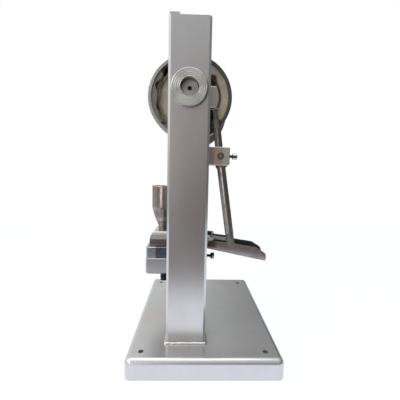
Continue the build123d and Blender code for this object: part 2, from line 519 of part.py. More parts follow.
def upper_rod(hub):
    """Rod with a thinner stud at its top, and the nut that locks the stud."""
    nut_low, nut_high = stud_point(LOCK_NUT_AT), stud_point(STUD_AT)
    rod = cyl_between(UPPER_ROD_R, stud_point(0), nut_low) - hub
    stud = cyl_between(STUD_R, nut_low, stud_point(100)) - block(60, 100, -20, 40, HEAD_Z0, 500)
    node("upper_lever_rod", rod + stud)
    direction = Vector(*nut_high) - Vector(*nut_low)
    hexagon = extrude(RegularPolygon(7, 6, major_radius=False, rotation=30), amount=STUD_AT - LOCK_NUT_AT)
    nut = chamfer(hexagon.edges().filter_by(Plane.XY), 0.7)
    place = Plane(origin=Vector(*nut_low), x_dir=(1, 0, 0), z_dir=direction)
    node("lever_lock_nut", place * nut - cyl_between(STUD_R, stud_point(40), stud_point(80)))


def follower_head():
    """Block on top of the lever, flat above and curved on its outer side."""
    right = HEAD_Y1 - 5
    outline = [
        Line((HEAD_Y0, HEAD_Z0), (HEAD_Y0, HEAD_Z1)),
        Line((HEAD_Y0, HEAD_Z1), (right, HEAD_Z1)),
        ThreePointArc((right, HEAD_Z1), (HEAD_Y1, (HEAD_Z0 + HEAD_Z1) / 2 + 1), (right, HEAD_Z0)),
        Line((right, HEAD_Z0), (HEAD_Y0, HEAD_Z0)),
    ]
    head = extrude_x(make_face(outline), HEAD_X0, HEAD_X1)
    head = chamfer(head.faces().sort_by(Axis.X)[-1].edges(), 1)
    return head - cyl_x(FOLLOWER_PIN_R, HEAD_X0 - 1, HEAD_X0 + 1.2, FOLLOWER_Y, FOLLOWER_Z)


def lower_tilt():
    return degrees(atan2(SLOT_Y - PIVOT_Y, PIVOT_Z - SLOT_Z))


def lower_arm():
    """Round bar that ends in a flat with a slot for the push rod's pin."""
    bar = cyl_between(LEVER_R, lever_point(HUB_FOOT), lever_point(FLAT_AT + 1))
    length = LEVER_TIP - FLAT_R - FLAT_AT
    flat = Box(FLAT_X, 2 * FLAT_R, length)
    flat += Pos(0, 0, -length / 2) * Rot(0, 90, 0) * Cylinder(FLAT_R, FLAT_X)
    slot = Box(20, 2 * SLOT_R, 2 * SLOT_HALF)
    for end in (-SLOT_HALF, SLOT_HALF):
        slot += Pos(0, 0, end) * Rot(0, 90, 0) * Cylinder(SLOT_R, 20)
    tilt = Rot(lower_tilt(), 0, 0)
    flat_place = Pos(*lever_point(FLAT_AT + length / 2)) * tilt
    slot_place = Pos(*lever_point(LEVER_TIP - 12.5)) * tilt
    return bar + flat_place * flat - slot_place * slot


# ---------------------------------------------------------------- feed shoe and hopper
def feed_shoe():
    """Hollow shoe that slides over the die plate and fills the die from the hopper."""
    side = [(SHOE_Y0, SHOE_Z0), (SHOE_Y0, SHOE_STEP_Z), (-109, 206.5), (-106, 212.5), (-101.5, SHOE_Z1),
            (-60, SHOE_Z1), (SHOE_Y1, 211), (SHOE_Y1, SHOE_Z0)]
    shoe = plate_yz(side, -SHOE_X, SHOE_X)
    shoe = fillet(shoe.faces().sort_by(Axis.Z)[-1].edges().filter_by(Axis.Y), 3)
    step = 1.5
    for flank in (-SHOE_X - 1, SHOE_X - step):
        shoe -= block(flank, flank + step + 1, SHOE_Y0 - 1, SHOE_Y1 + 1, SHOE_Z0 - 1, SHOE_STEP_Z)
    shoe += block(-18, 18, SHOE_Y1 - 2, TONGUE_Y, SHOE_Z0, TONGUE_Z1)
    cavity = block(-16, 16, -100, -64, 180, TONGUE_Z1) + block(-12, 12, -66, TONGUE_Y - 4, 180, TONGUE_Z1 - 3)
    shoe -= cavity + cyl_z(10, 203, SHOE_Z1 + 1, 0, HOPPER_Y) + cyl_z(8, 198, 204, 0, HOPPER_Y)
    node("feed_shoe", shoe)
    low = PLATE_Z1 + SHOE_GAP
    plate = block(-SHOE_X, SHOE_X, SHOE_Y0, SHOE_Y1 + 4, low, SHOE_Z0)
    plate = fillet(edges_along(plate, Axis.Z).sort_by(Axis.Y)[:2], 2)
    plate += block(-18, 18, SHOE_Y1, TONGUE_Y, low, SHOE_Z0)
    node("shoe_wear_plate", plate - cavity)


def push_rod_frame():
    """Place of the push rod: origin where it crosses its lug, Y along the rod towards the lever."""
    return Pos(PUSH_LUG_X, PUSH_LUG_Y, SLOT_Z) * Rot(0, 0, -degrees(atan2(20.5, SLOT_Y - 8)))


def drag_arm():
    place = push_rod_frame()
    arm = block(SHOE_X, 48, -60, 4, 192, 204) + block(SHOE_X - 1.5, 36, -60, SHOE_Y1, 192, SHOE_STEP_Z)
    arm += block(SHOE_X, 58, -10, 4, 192, 204)
    lug = place * (Pos(0, 0, -5.5) * Box(20, 8, 25))
    lug = fillet(lug.edges().filter_by(Axis.Z), 1)
    node("drag_arm", arm + lug - place * (Rot(90, 0, 0) * Cylinder(PUSH_ROD_R, 30)))


def push_rod():
    place = push_rod_frame()
    start, end = -19, hypot(72.5 - PUSH_LUG_X, SLOT_Y - PUSH_LUG_Y) - 5
    bar = place * (Pos(0, (start + end) / 2, 0) * Rot(90, 0, 0) * Cylinder(PUSH_ROD_R, end - start))
    eye = cyl_x(8, PUSH_EYE_X0, PUSH_EYE_X1, SLOT_Y, SLOT_Z)
    node("push_rod", bar + eye - cyl_x(SLOT_PIN_R, 60, 90, SLOT_Y, SLOT_Z))
    nuts = []
    for y0, y1 in ((4, 16), (-10, -4)):
        nut = extrude(RegularPolygon(PUSH_NUT_FLATS / 2, 6, major_radius=False), amount=y1 - y0)
        nut = chamfer(nut.edges().filter_by(Plane.XY), 0.8) - Cylinder(PUSH_ROD_R, 60)
        nuts.append(place * (Pos(0, y1, 0) * Rot(90, 0, 0) * nut))
    node("push_rod_nuts", *nuts)
    node("slot_pin", cyl_x(SLOT_PIN_R, PUSH_EYE_X0, PIVOT_X + 4.6, SLOT_Y, SLOT_Z))


def hopper():
    """Spun sheet funnel whose neck drops into the feed shoe."""
    outer = [(NECK_R, NECK_Z), (NECK_R, 223.5), (11.5, 227.5), (14.2, 233.5), (17.2, 240), (20.2, 251),
             (22.6, 258.5), (HOPPER_R, 264), (HOPPER_R, HOPPER_TOP)]
    inner = [(r - WALL, z) for r, z in reversed(outer)]
    shell = turned_z(outer + inner, 0, HOPPER_Y)
    rim = Pos(0, HOPPER_Y, HOPPER_TOP - 1) * Torus(HOPPER_R - 0.4, 1.3)
    seam = Pos(0, HOPPER_Y, 236.5) * Torus(15.2, 1.1)
    middle = turned_z([(0, NECK_Z - 1), *[(r, z) for r, z in reversed(inner)], (0, 312)], 0, HOPPER_Y)
    node("hopper", shell + (rim + seam - middle))


# ---------------------------------------------------------------- lower punch and lift
def lift():
    x, half = LIFT_X, LIFT_FORK_HALF
    node("lift_rod", cyl_z(LIFT_R, LIFT_Z0, LIFT_Z1, x))
    fork = block(x - half, x + half, AXIS_Y - 10, AXIS_Y + 10, LIFT_Z1, LIFT_Z1 + 20)
    fork -= block(x - 7.5, x + 7.5, AXIS_Y - 11, AXIS_Y + 11, LIFT_Z1 + 2, LIFT_Z1 + 24)
    fork = chamfer(edges_along(fork, Axis.X).sort_by(Axis.Z)[-4:], 4)
    fork += cyl_x(LIFT_PIN_R, x - half, x + half, AXIS_Y, LIFT_ROLLER_Z)
    node("lift_fork", fork)
    roller = cyl_x(LIFT_ROLLER_R, x - 7, x + 7, AXIS_Y, LIFT_ROLLER_Z)
    roller = chamfer(roller.edges().filter_by(GeomType.CIRCLE), 0.8)
    node("lift_roller", roller - cyl_x(LIFT_PIN_R + RUN, x - 8, x + 8, AXIS_Y, LIFT_ROLLER_Z))
    collar = cyl_z(LIFT_COLLAR_R, LIFT_COLLAR_Z0, LIFT_COLLAR_Z1, x)
    node("lift_collar", collar - cyl_z(LIFT_R, LIFT_COLLAR_Z0 - 1, LIFT_COLLAR_Z1 + 1, x))
    node("lift_spring", lift_spring())
    yoke = block(x - 12, 18, AXIS_Y - 13, AXIS_Y + 13, YOKE_Z0, YOKE_Z1)
    yoke = fillet(edges_along(yoke, Axis.Z), 6)
    yoke -= cyl_z(SPIGOT_R, YOKE_Z0 - 1, YOKE_Z1 + 1)
    node("lift_yoke", yoke - cyl_z(LIFT_R, LIFT_Z0, YOKE_Z1 + 1, x))
    node("lower_ram", cyl_z(LOWER_RAM_R, YOKE_Z1, LOWER_RAM_Z1) + cyl_z(SPIGOT_R, YOKE_Z0, YOKE_Z1))
    node("lower_punch", cyl_z(DIE_BORE_R - RUN, LOWER_RAM_Z1, LOWER_PUNCH_Z1))


def lift_spring():
    low = TABLE_Z1 + 0.5 + SPRING_WIRE_R
    high = LIFT_COLLAR_Z0 - 0.5 - SPRING_WIRE_R
    coil = Helix(pitch=(high - low) / SPRING_TURNS, height=high - low, radius=SPRING_R)
    path = Pos(LIFT_X, AXIS_Y, low) * coil
    section = Plane(origin=path @ 0, z_dir=path % 0) * Circle(SPRING_WIRE_R)
    return sweep(section, path)


def adjuster_gears():
    """Toothed rings on the lower ram that set the fill depth and the ejection height."""
    for name, z0 in (("fill_gear", FILL_GEAR_Z), ("eject_gear", EJECT_GEAR_Z)):
        z1 = z0 + GEAR_HEIGHT
        gear = cyl_z(GEAR_R, z0, z1)
        for k in range(GEAR_TEETH):
            turn, r = 2 * pi * k / GEAR_TEETH, GEAR_R + 0.5
            gear -= cyl_z(2.2, z0 - 1, z1 + 1, r * cos(turn), AXIS_Y + r * sin(turn))
        node(name, gear - cyl_z(LOWER_RAM_R + RUN, z0 - 1, z1 + 1))


# ---------------------------------------------------------------- build and write
def main():
    base_plate()
    columns()
    top_tie()
    cap_screws()
    bearings()
    guide_beam()
    die_table()
    die_plate()
    die_plate_bolts()
    pivot_bracket()
    chute()
    pin_side = PIVOT_Y + PIVOT_R + 0.3
    knurled_screw("bracket_thumbscrew", BRACKET_KNOB_X, PIVOT_Z, pin_side, 46.6, 54.6, 2.45, 5.5)
    knurled_screw("chute_thumbscrew", 0, CHUTE_SCREW_Z, -7, 18, 26, 2.95, 6.5)
    main_shaft()
    feed_cam_wheel()
    eccentric_sheave()
    ejection_cam()
    crank()
    connecting_rod()
    ram()
    feed_lever()
    feed_shoe()
    drag_arm()
    push_rod()
    hopper()
    lift()
    adjuster_gears()
    os.makedirs("parts", exist_ok=True)
    for name, solid in NODES.items():
        export_step(solid, f"parts/{name}.step")


main()
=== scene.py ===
from math import cos, pi, radians, sin

import bmesh
import bpy
from mathutils import Matrix, Vector


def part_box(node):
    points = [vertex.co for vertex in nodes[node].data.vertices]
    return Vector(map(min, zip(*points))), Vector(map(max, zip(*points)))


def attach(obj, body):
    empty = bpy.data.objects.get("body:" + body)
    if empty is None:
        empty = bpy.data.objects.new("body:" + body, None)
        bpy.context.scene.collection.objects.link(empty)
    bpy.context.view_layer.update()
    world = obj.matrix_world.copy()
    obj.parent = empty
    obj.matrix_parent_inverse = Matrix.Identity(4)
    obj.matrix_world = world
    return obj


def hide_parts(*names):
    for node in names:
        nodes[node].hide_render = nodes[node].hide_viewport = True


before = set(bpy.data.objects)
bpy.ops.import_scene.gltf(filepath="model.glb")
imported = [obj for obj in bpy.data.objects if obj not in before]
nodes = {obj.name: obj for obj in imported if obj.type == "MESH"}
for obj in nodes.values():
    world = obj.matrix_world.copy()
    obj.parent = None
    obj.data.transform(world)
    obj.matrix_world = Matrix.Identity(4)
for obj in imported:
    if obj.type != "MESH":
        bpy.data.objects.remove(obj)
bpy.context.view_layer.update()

# A hand-turned single-punch tablet press. Metres, +Z up, the main shaft along X.

MM = 0.001
SHAFT_Y, SHAFT_Z = -31.2 * MM, 475 * MM        # the main shaft's line
HOPPER_Y = -85.4 * MM
PIVOT_Y, PIVOT_Z = 25.2 * MM, 368.4 * MM       # the feed lever's pivot, along X
PUSH_ROD_Z = 215 * MM
LEVER_PIVOT = Vector((80 * MM, PIVOT_Y, PIVOT_Z))
LEVER_HEAD = Vector((80, 13.9, 453.6)) * MM    # on the follower's axis
LEVER_FOOT = Vector((80 * MM, 48.5 * MM, PUSH_ROD_Z))
TABLE_SCREW_Z = 158.4 * MM                     # the screw that holds the chute on the table
CHUTE_HALF = 22                                # millimetres, as are the next two
CHUTE_START = (5.5, 180.5)                     # Y and Z of the floor's underside at the table
CHUTE_LIP = (133.8, 154.3)                     # and at the lip
CHUTE_SLOPE = (CHUTE_LIP[1] - CHUTE_START[1]) / (CHUTE_LIP[0] - CHUTE_START[0])

FLOOR_SIZE = 2.6
FLOOR_EDGE = 0.3                               # the white floor ends this far in front
FLOOR_FADE = 0.24                              # and darkens over this length
FLOOR_GLOW = 0.93                              # how far its own shadows and shading are covered


# ---------------------------------------------------------------- shader maths
class Tap:
    """One output of a node. Arithmetic on it adds Math nodes."""

    def __init__(self, owner, socket):
        self.owner, self.socket = owner, socket

    def math(self, operation, left, right=0.0):
        return self.owner.add("Math", {"operation": operation}, {0: left, 1: right})

    def __add__(self, other):
        return self.math("ADD", self, other)

    def __sub__(self, other):
        return self.math("SUBTRACT", self, other)

    def __rsub__(self, other):
        return self.math("SUBTRACT", other, self)

    def __mul__(self, other):
        return self.math("MULTIPLY", self, other)

    def __truediv__(self, other):
        return self.math("DIVIDE", self, other)

    __radd__ = __add__
    __rmul__ = __mul__

    def root(self):
        return self.math("SQRT", self)

    def sine(self):
        return self.math("SINE", self)

    def between(self, low, high):
        """0 below low, 1 above high, and smooth in between."""
        settings = {"interpolation_type": "SMOOTHSTEP"}
        return self.owner.add("MapRange", settings, {"Value": self, "From Min": low, "From Max": high})


class Shading:
    """A node tree that is written as maths, over one kind of place or direction."""

    def __init__(self, tree, place):
        self.tree = tree
        self.place = self.add("TexCoord", out=place)

    def feed(self, socket, value):
        """Link a Tap to a socket, or set a constant on it."""
        if isinstance(value, Tap):
            self.tree.links.new(value.socket, socket)
        elif isinstance(value, (tuple, list)) and len(value) == 3 and socket.type == "RGBA":
            socket.default_value = (*value, 1.0)
        else:
            socket.default_value = value

    def add(self, kind, settings=None, sockets=None, out=0):
        node = self.tree.nodes.new("ShaderNode" + kind)
        for name, value in (settings or {}).items():
            setattr(node, name, value)
        for key, value in (sockets or {}).items():
            self.feed(node.inputs[key], value)
        return Tap(self, node.outputs[out])

    def noise(self, scale, detail=3.0, rough=0.5, at=None):
        sockets = {"Vector": at or self.place, "Scale": scale, "Detail": detail, "Roughness": rough}
        return self.add("TexNoise", None, sockets, out="Fac")

    def stretched(self, x, y, z):
        """The place, stretched by a different amount along each axis."""
        return self.add("Mapping", None, {"Vector": self.place, "Scale": (x, y, z)})

    def parts(self):
        """The place's X, Y and Z."""
        node = self.add("SeparateXYZ", None, {"Vector": self.place}).socket.node
        return [Tap(self, node.outputs[i]) for i in range(3)]

    def from_line_x(self, y, z):
        """Distance from a line along X."""
        _, py, pz = self.parts()
        return ((py - y) * (py - y) + (pz - z) * (pz - z)).root()

    def spot(self, centre, reach):
        """1 at a place given in millimetres, falling raggedly to 0 at its reach along each axis."""
        parts = [(v - c * MM) / (r * MM) for v, c, r in zip(self.parts(), centre, reach)]
        ragged = (self.noise(160, 4, 0.65) - 0.5) * 0.9
        away = (parts[0] * parts[0] + parts[1] * parts[1] + parts[2] * parts[2]).root() + ragged
        return 1 - away.between(0.55, 1)

    def mix(self, mask, low, high):
        """The low colour where the mask is 0, the high one where it is 1."""
        return self.add("Mix", {"data_type": "RGBA"}, {0: mask, 6: low, 7: high}, out=2)

    def tint(self, colour, amount):
        """A colour made lighter or darker by a number round 1."""
        return self.add("VectorMath", {"operation": "SCALE"}, {0: colour, "Scale": amount})

    def ray(self, kind):
        """1 for a Camera, Glossy or Transmission ray."""
        return self.add("LightPath", out=f"Is {kind} Ray")


class Finish(Shading):
    """A material: its constants go on the shader, and what varies is written as maths."""

    def __init__(self, name, **constants):
        self.material = bpy.data.materials.new(name)
        self.material.use_nodes = True
        super().__init__(self.material.node_tree, "Object")
        self.shader = self.tree.nodes["Principled BSDF"]
        self.set(**constants)

    def set(self, **values):
        for name, value in values.items():
            self.feed(self.shader.inputs[name.replace("_", " ")], value)

    def bump(self, height, depth):
        """Relief of this depth in metres."""
        self.set(Normal=self.add("Bump", None, {"Height": height, "Distance": depth, "Strength": 1.0}))


# ---------------------------------------------------------------- finishes
# near-black, painted as shade inside a drilled hole
HOLE_SHADE_BLACK = (0.02, 0.02, 0.02)


def silver_paint(name, cool, warm):
    """Sprayed silver lacquer: slight orange peel, faint brown clouds and drips, and a little dust."""
    f = Finish(name, Metallic=0.88, Coat_Roughness=0.2)
    clouds = f.noise(7, 4, 0.55)
    stain = f.noise(5.5, 3, 0.6, f.stretched(1, 1, 0.5)).between(0.45, 0.75)
    drips = f.noise(26, 3, 0.6, f.stretched(1, 1, 0.12)).between(0.35, 0.7)
    dust = f.noise(38, 3, 0.6).between(0.52, 0.78)
    shade = 0.935 + clouds * 0.08 + drips * 0.03
    paint = f.tint(f.mix(stain * 0.6, cool, warm), shade)
    f.set(Base_Color=f.mix(dust * 0.2, paint, (0.52, 0.51, 0.49)))
    f.set(Roughness=0.28 + dust * 0.04, Coat_Weight=0.12 - dust * 0.08)
    f.bump(f.noise(60, 1), 0.00003)
    return f.material


def turned_steel(name, colour, rough=0.3, depth=0.00012, drilled=0):
    """Steel faced on a lathe: fine rings round the shaft's line, a painted highlight above and below that
    line, and painted shade in a hole drilled to this radius.
    """
    f = Finish(name, Metallic=1.0)
    radius = f.from_line_x(SHAFT_Y, SHAFT_Z)
    rings = (radius * 5200).sine() * 0.5 + (radius * 2100).sine() * 0.5
    marks = f.noise(300, 3, 0.6)
    smear = f.noise(24, 5, 0.6).between(0.45, 0.75)
    _, _, z = f.parts()
    # painted highlight: the face is made lighter above and below the shaft's line
    highlight_fan = (z - SHAFT_Z) / radius
    shade = 0.85 + highlight_fan * highlight_fan * 0.32 + rings * 0.14 + marks * 0.1 - smear * 0.14
    coat = f.tint(colour, shade)
    if drilled:
        # painted shade inside the drilled hole
        oil = 1 - radius.between(drilled, drilled + 1 * MM)
        coat = f.mix(oil * 0.9, coat, HOLE_SHADE_BLACK)
    f.set(Base_Color=coat, Roughness=rough + marks * 0.14 + smear * 0.12)
    f.bump(rings * 0.5 + marks * 0.3, depth)
    return f.material


def drawn_steel(name, stretch, colour, rough=0.25, oil=0.1):
    """Bar or ground plate with fine scratches along one way, and a little old oil."""
    f = Finish(name, Metallic=1.0)
    scratches = f.noise(60, 3, 0.7, f.stretched(*stretch))
    film = f.noise(30, 5, 0.6).between(0.42, 0.72)
    shade = 0.9 + scratches * 0.2 - film * oil
    f.set(Base_Color=f.tint(colour, shade), Roughness=rough + scratches * 0.16 + film * 0.12)
    f.bump(scratches, 0.0001)
    return f.material


def aside(y, z, foot, top):
    """Distance to the +Y side of a line through the pivot, which runs up from foot to top."""
    along = (top - foot).normalized()
    return (y - PIVOT_Y) * along.z - (z - PIVOT_Z) * along.y


def lever_steel():
    """The lever's round bars: painted shade along both flanks, and a painted highlight along the near left.
    """
    f = Finish("lever_steel", Metallic=1.0)
    _, y, z = f.parts()
    lower_half, upper_radius = 7.8 * MM, 7 * MM
    low = aside(y, z, LEVER_FOOT, LEVER_PIVOT) / lower_half
    high = aside(y, z, LEVER_PIVOT, LEVER_HEAD) / upper_radius
    above = z.between(PIVOT_Z - 1 * MM, PIVOT_Z + 1 * MM)
    across = low + above * (high - low)
    # painted shade along both flanks of the round bars
    shaded_flank = (across * across).between(0.5, 0.95)
    # painted highlight: a lighter streak just left of the middle of each bar
    painted_highlight = 1 - ((across + 0.3) * (across + 0.3)).between(0.02, 0.22)
    scratches = f.noise(60, 3, 0.7, f.stretched(6, 6, 0.4))
    spots = f.noise(110, 5, 0.7).between(0.45, 0.7)
    worn_foot = 1 - z.between(214 * MM, 222 * MM)
    steel = f.mix(painted_highlight * 0.8, (0.35, 0.34, 0.325), (0.62, 0.61, 0.575))
    steel = f.mix(worn_foot * 0.8, steel, (0.47, 0.47, 0.445))
    over_bracket = z.between(PIVOT_Z + 10 * MM, PIVOT_Z + 20 * MM)
    steel = f.mix(over_bracket * 0.4, steel, (0.1, 0.095, 0.085))
    flank_shaded_steel = f.mix(shaded_flank * (0.8 - worn_foot * 0.4), steel, (0.07, 0.068, 0.058))
    shade = 0.9 + scratches * 0.2 - spots * 0.28
    f.set(Base_Color=f.tint(flank_shaded_steel, shade), Roughness=0.26 + scratches * 0.14 + spots * 0.1)
    f.bump(scratches + spots * 0.5, 0.00012)
    return f.material


def bracket_steel():
    """Milled block: brown with old oil on the column's side, a rusty ring round the pivot pin."""
    f = Finish("bracket_steel", Metallic=1.0)
    _, y, _ = f.parts()
    clean = y.between(24 * MM, 33 * MM)
    milled = f.noise(60, 3, 0.7, f.stretched(1, 6, 1))
    blotches = f.noise(70, 5, 0.65).between(0.4, 0.7)
    from_pin = f.from_line_x(PIVOT_Y, PIVOT_Z)
    inside = 1 - from_pin.between(2 * MM, 3 * MM)
    ring = (1 - inside) * (1 - from_pin.between(5.4 * MM, 7 * MM))
    steel = f.mix(clean, (0.6, 0.52, 0.455), (0.72, 0.73, 0.68))
    steel = f.mix(inside, steel, (0.42, 0.35, 0.3))
    steel = f.mix(ring * (0.75 + blotches * 0.25), steel, (0.13, 0.085, 0.055))
    f.set(Base_Color=f.tint(steel, 0.92 + milled * 0.16 - blotches * 0.12))
    f.set(Roughness=0.36 + milled * 0.12 + ring * 0.2)
    f.bump(milled + blotches * 0.4, 0.00014)
    return f.material


def oily_shaded_bar(name, clean, oil, oil_and_shade_z, soft):
    """Bright bar or nut whose upper side is black with oil and dust, and with painted shade."""
    f = Finish(name, Metallic=1.0)
    _, _, z = f.parts()
    ragged = f.noise(160, 4, 0.6) - 0.5
    # the black upper side: oil and dust, and painted shade
    top = (z + ragged * 1.4 * MM).between(oil_and_shade_z - soft, oil_and_shade_z + soft)
    grain = f.noise(300, 3)
    f.set(Base_Color=f.mix(top, f.tint(clean, 0.85 + grain * 0.3), f.tint(oil, 0.7 + grain * 0.6)))
    f.set(Roughness=0.2 + grain * 0.12 + top * 0.12)
    f.bump(grain, 0.0001)
    return f.material


def thumbscrew_steel():
    """Bright screw head, black in its neck and along the middle of its grip."""
    f = Finish("thumbscrew_steel", Metallic=1.0)
    _, y, z = f.parts()
    ragged = f.noise(260, 3, 0.6) - 0.5
    above = (z - PIVOT_Z + ragged * 1.2 * MM + 1.2 * MM) / (1.6 * MM)
    middle = 1 - (above * above).between(0.7, 1.6)
    neck = 1 - y.between(46.6 * MM, 47.4 * MM)
    grain = f.noise(500, 3, 0.6)
    dark_bands = (middle * 0.9 + neck).between(0, 1)
    f.set(Base_Color=f.mix(dark_bands, f.tint((0.78, 0.78, 0.76), 0.85 + grain * 0.3), (0.03, 0.03, 0.03)))
    f.set(Roughness=0.2 + grain * 0.12 + neck * 0.1)
    f.bump(grain, 0.0001)
    return f.material


def knob_steel():
    """Blackened knob, with a painted highlight on the lower part of its outer end."""
    f = Finish("knob_steel")
    _, y, z = f.parts()
    grain = f.noise(420, 4, 0.6)
    # painted highlight, made less metallic so that it reads bright
    painted_highlight = y.between(21.3 * MM, 22.3 * MM) * (1 - z.between(159 * MM, 161 * MM))
    black = f.tint((0.03, 0.03, 0.032), 0.7 + grain * 0.6)
    f.set(Base_Color=f.mix(painted_highlight * 0.95, black, (0.8, 0.8, 0.79)))
    f.set(Roughness=0.3 + grain * 0.1, Metallic=0.9 - painted_highlight * 0.6)
    f.bump(grain, 0.00012)
    return f.material


def shoe_steel():
    """Ground shoe: a painted highlight on its sloping top, and dark in the step above its wear plate."""
    f = Finish("shoe_steel", Metallic=1.0)
    _, _, z = f.parts()
    in_step = 1 - z.between(200.7 * MM, 202.2 * MM)
    # painted highlight: the sloping top is made lighter
    painted_highlight_slope = z.between(209 * MM, 213 * MM)
    ground = f.noise(60, 3, 0.7, f.stretched(1, 4, 1))
    film = f.noise(60, 5, 0.6).between(0.4, 0.72)
    steel = f.mix(painted_highlight_slope, (0.52, 0.51, 0.48), (0.8, 0.79, 0.76))
    steel = f.mix(in_step * 0.92, steel, (0.17, 0.14, 0.135))
    f.set(Base_Color=f.tint(steel, 0.92 + ground * 0.18 - film * 0.14))
    f.set(Roughness=0.3 + ground * 0.12 + film * 0.1)
    f.bump(ground + film * 0.3, 0.00012)
    return f.material


def die_plate_steel():
    """Polished dark plate with a painted reflection, a lighter patch at its front corner."""
    f = Finish("die_plate_steel", Metallic=1.0)
    _, y, _ = f.parts()
    ragged = f.noise(120, 3, 0.6) - 0.5
    # painted reflection: lighter at the front corner, darker past this line
    past_painted_reflection = (y + ragged * 3 * MM).between(-98 * MM, -94 * MM)
    polish = f.noise(80, 3, 0.7, f.stretched(1, 1, 5))
    film = f.noise(26, 4, 0.6).between(0.4, 0.7)
    steel = f.mix(past_painted_reflection, (0.4, 0.43, 0.49), (0.14, 0.155, 0.185))
    f.set(Base_Color=f.tint(steel, 0.9 + polish * 0.25 - film * 0.12))
    f.set(Roughness=0.2 + polish * 0.1 + film * 0.1)
    f.bump(polish, 0.0001)
    return f.material


def cam_steel():
    """Oiled casting with a machined rim, and yellowed grease on the track and the land beside it; painted
    shade on the track's wall, the right rim and behind the follower head, and a painted highlight on the left
    rim.
    """
    f = Finish("cam_steel")
    x, y, _ = f.parts()
    radius = f.from_line_x(SHAFT_Y, SHAFT_Z)
    grain = f.noise(120, 5, 0.65)
    fine = f.noise(700, 3)
    rings = (radius * 4200).sine()
    worn = f.noise(46, 4, 0.6)

    # where a place is on the wheel: 1 inside, 0 outside
    face = x.between(68.5 * MM, 69.5 * MM)
    front = x.between(57.5 * MM, 57.8 * MM)
    pocket = (1 - face) * front
    right = y.between(-34 * MM, -20 * MM)
    rim = radius.between(70.6 * MM, 71.4 * MM)
    shaded_rim_right, lit_rim_left = rim * right * face, rim * (1 - right) * face
    land_right = (1 - radius.between(69.5 * MM, 71.2 * MM)) * right * face
    land_left = (1 - rim) * (1 - right) * face
    track = (1 - radius.between(62 * MM, 69 * MM)) * pocket
    wall = x.between(58.8 * MM, 59.6 * MM) * pocket

    smears = (1 - right) * face * f.noise(75, 5, 0.65).between(0.42, 0.62)
    greased = land_right * (0.72 + worn * 0.4) + track * (0.45 + worn * 0.7) + smears * 0.4
    greased = greased.between(0.25, 0.8)
    rust = f.noise(60, 5, 0.7).between(0.56, 0.7) * pocket
    # painted shade on the track's wall and the right rim; on the left land partly painted shade and partly
    # dirt
    dirt_and_shade = (wall * 0.7 + shaded_rim_right * 0.6 + land_left * 0.5).between(0, 1)
    # painted highlight: the left rim is made lighter
    steel = f.tint((0.27, 0.265, 0.26), 0.75 + grain * 0.5 + rings * 0.05 + lit_rim_left * 0.4)
    steel = f.mix(rust * 0.7, steel, (0.09, 0.045, 0.03))
    steel = f.mix(dirt_and_shade, steel, (0.08, 0.078, 0.065))
    fat = f.mix(f.noise(30, 4, 0.6).between(0.35, 0.7), (0.52, 0.475, 0.36), (0.36, 0.345, 0.26))
    # grease made lighter on the right land and darker on the left: partly painted light, partly grease of two
    # tones
    coat = f.mix(greased, steel, f.tint(fat, 1 + land_right * 0.4 - land_left * 0.35))

    # painted shade: a near-black spot in the track's upper left
    painted_shade_spot = f.spot((60, -76, 522), (20, 13, 12))
    blobs = f.spot((62, -91, 459), (14, 4, 8)) + f.spot((62, -80, 428), (14, 8, 6))
    blobs += f.spot((62, -91, 500), (14, 5, 9)) * f.noise(180, 3).between(0.4, 0.6)
    # painted shade on the wheel behind the follower head and its rod
    shade_behind_head = f.spot((62, 11, 508), (20, 9, 12)) + f.spot((62, 8, 440), (20, 12, 34))
    dark = (painted_shade_spot + blobs * 0.75 + shade_behind_head).between(0.15, 0.85)
    f.set(Base_Color=f.mix(dark * 0.93, coat, (0.028, 0.023, 0.015)))
    f.set(Metallic=0.92 - greased * 0.8 - rust * 0.3 * (1 - dark))
    f.set(Roughness=0.42 + fine * 0.1 - greased * 0.06)
    lumps = greased * 0.8 + f.noise(210, 4, 0.6) * greased
    f.bump(grain * 0.6 + rings * 0.1 + lumps, 0.0004)
    return f.material


def chute_steel():
    """Stainless sheet, dark inside with tablet dust and oil and painted shade, and a painted brown shadow
    near the table under the push rod.
    """
    f = Finish("chute_steel", Metallic=1.0)
    x, y, z = f.parts()
    above_floor = z - CHUTE_START[1] * MM - (y - CHUTE_START[0] * MM) * CHUTE_SLOPE
    between_walls = 1 - (x * x).root().between(20.7 * MM, 21.2 * MM)
    inside = between_walls * above_floor.between(0.9 * MM, 1.3 * MM)
    brush = f.noise(80, 3, 0.7, f.stretched(4, 0.5, 4))
    dull = f.noise(40, 5, 0.6).between(0.4, 0.72)
    # painted shadow of the push rod on the walls near the table
    painted_rod_shadow = (1 - y.between(22 * MM, 34 * MM)) * above_floor.between(2 * MM, 8 * MM)
    tint = f.mix(f.noise(22, 4, 0.55).between(0.42, 0.6), (0.42, 0.39, 0.345), (0.44, 0.4, 0.39))
    sheet = f.mix(painted_rod_shadow * 0.8, tint, (0.13, 0.095, 0.07))
    # dark inside: tablet dust and oil, and painted shade
    sheet = f.mix(inside * 0.9, sheet, (0.055, 0.06, 0.047))
    f.set(Base_Color=f.tint(sheet, 0.92 + brush * 0.2 - dull * 0.16))
    f.set(Roughness=0.28 + brush * 0.12 + dull * 0.14)
    f.bump(f.noise(18, 2) * 0.7 + brush * 0.1 + dull * 0.2, 0.0005)
    return f.material


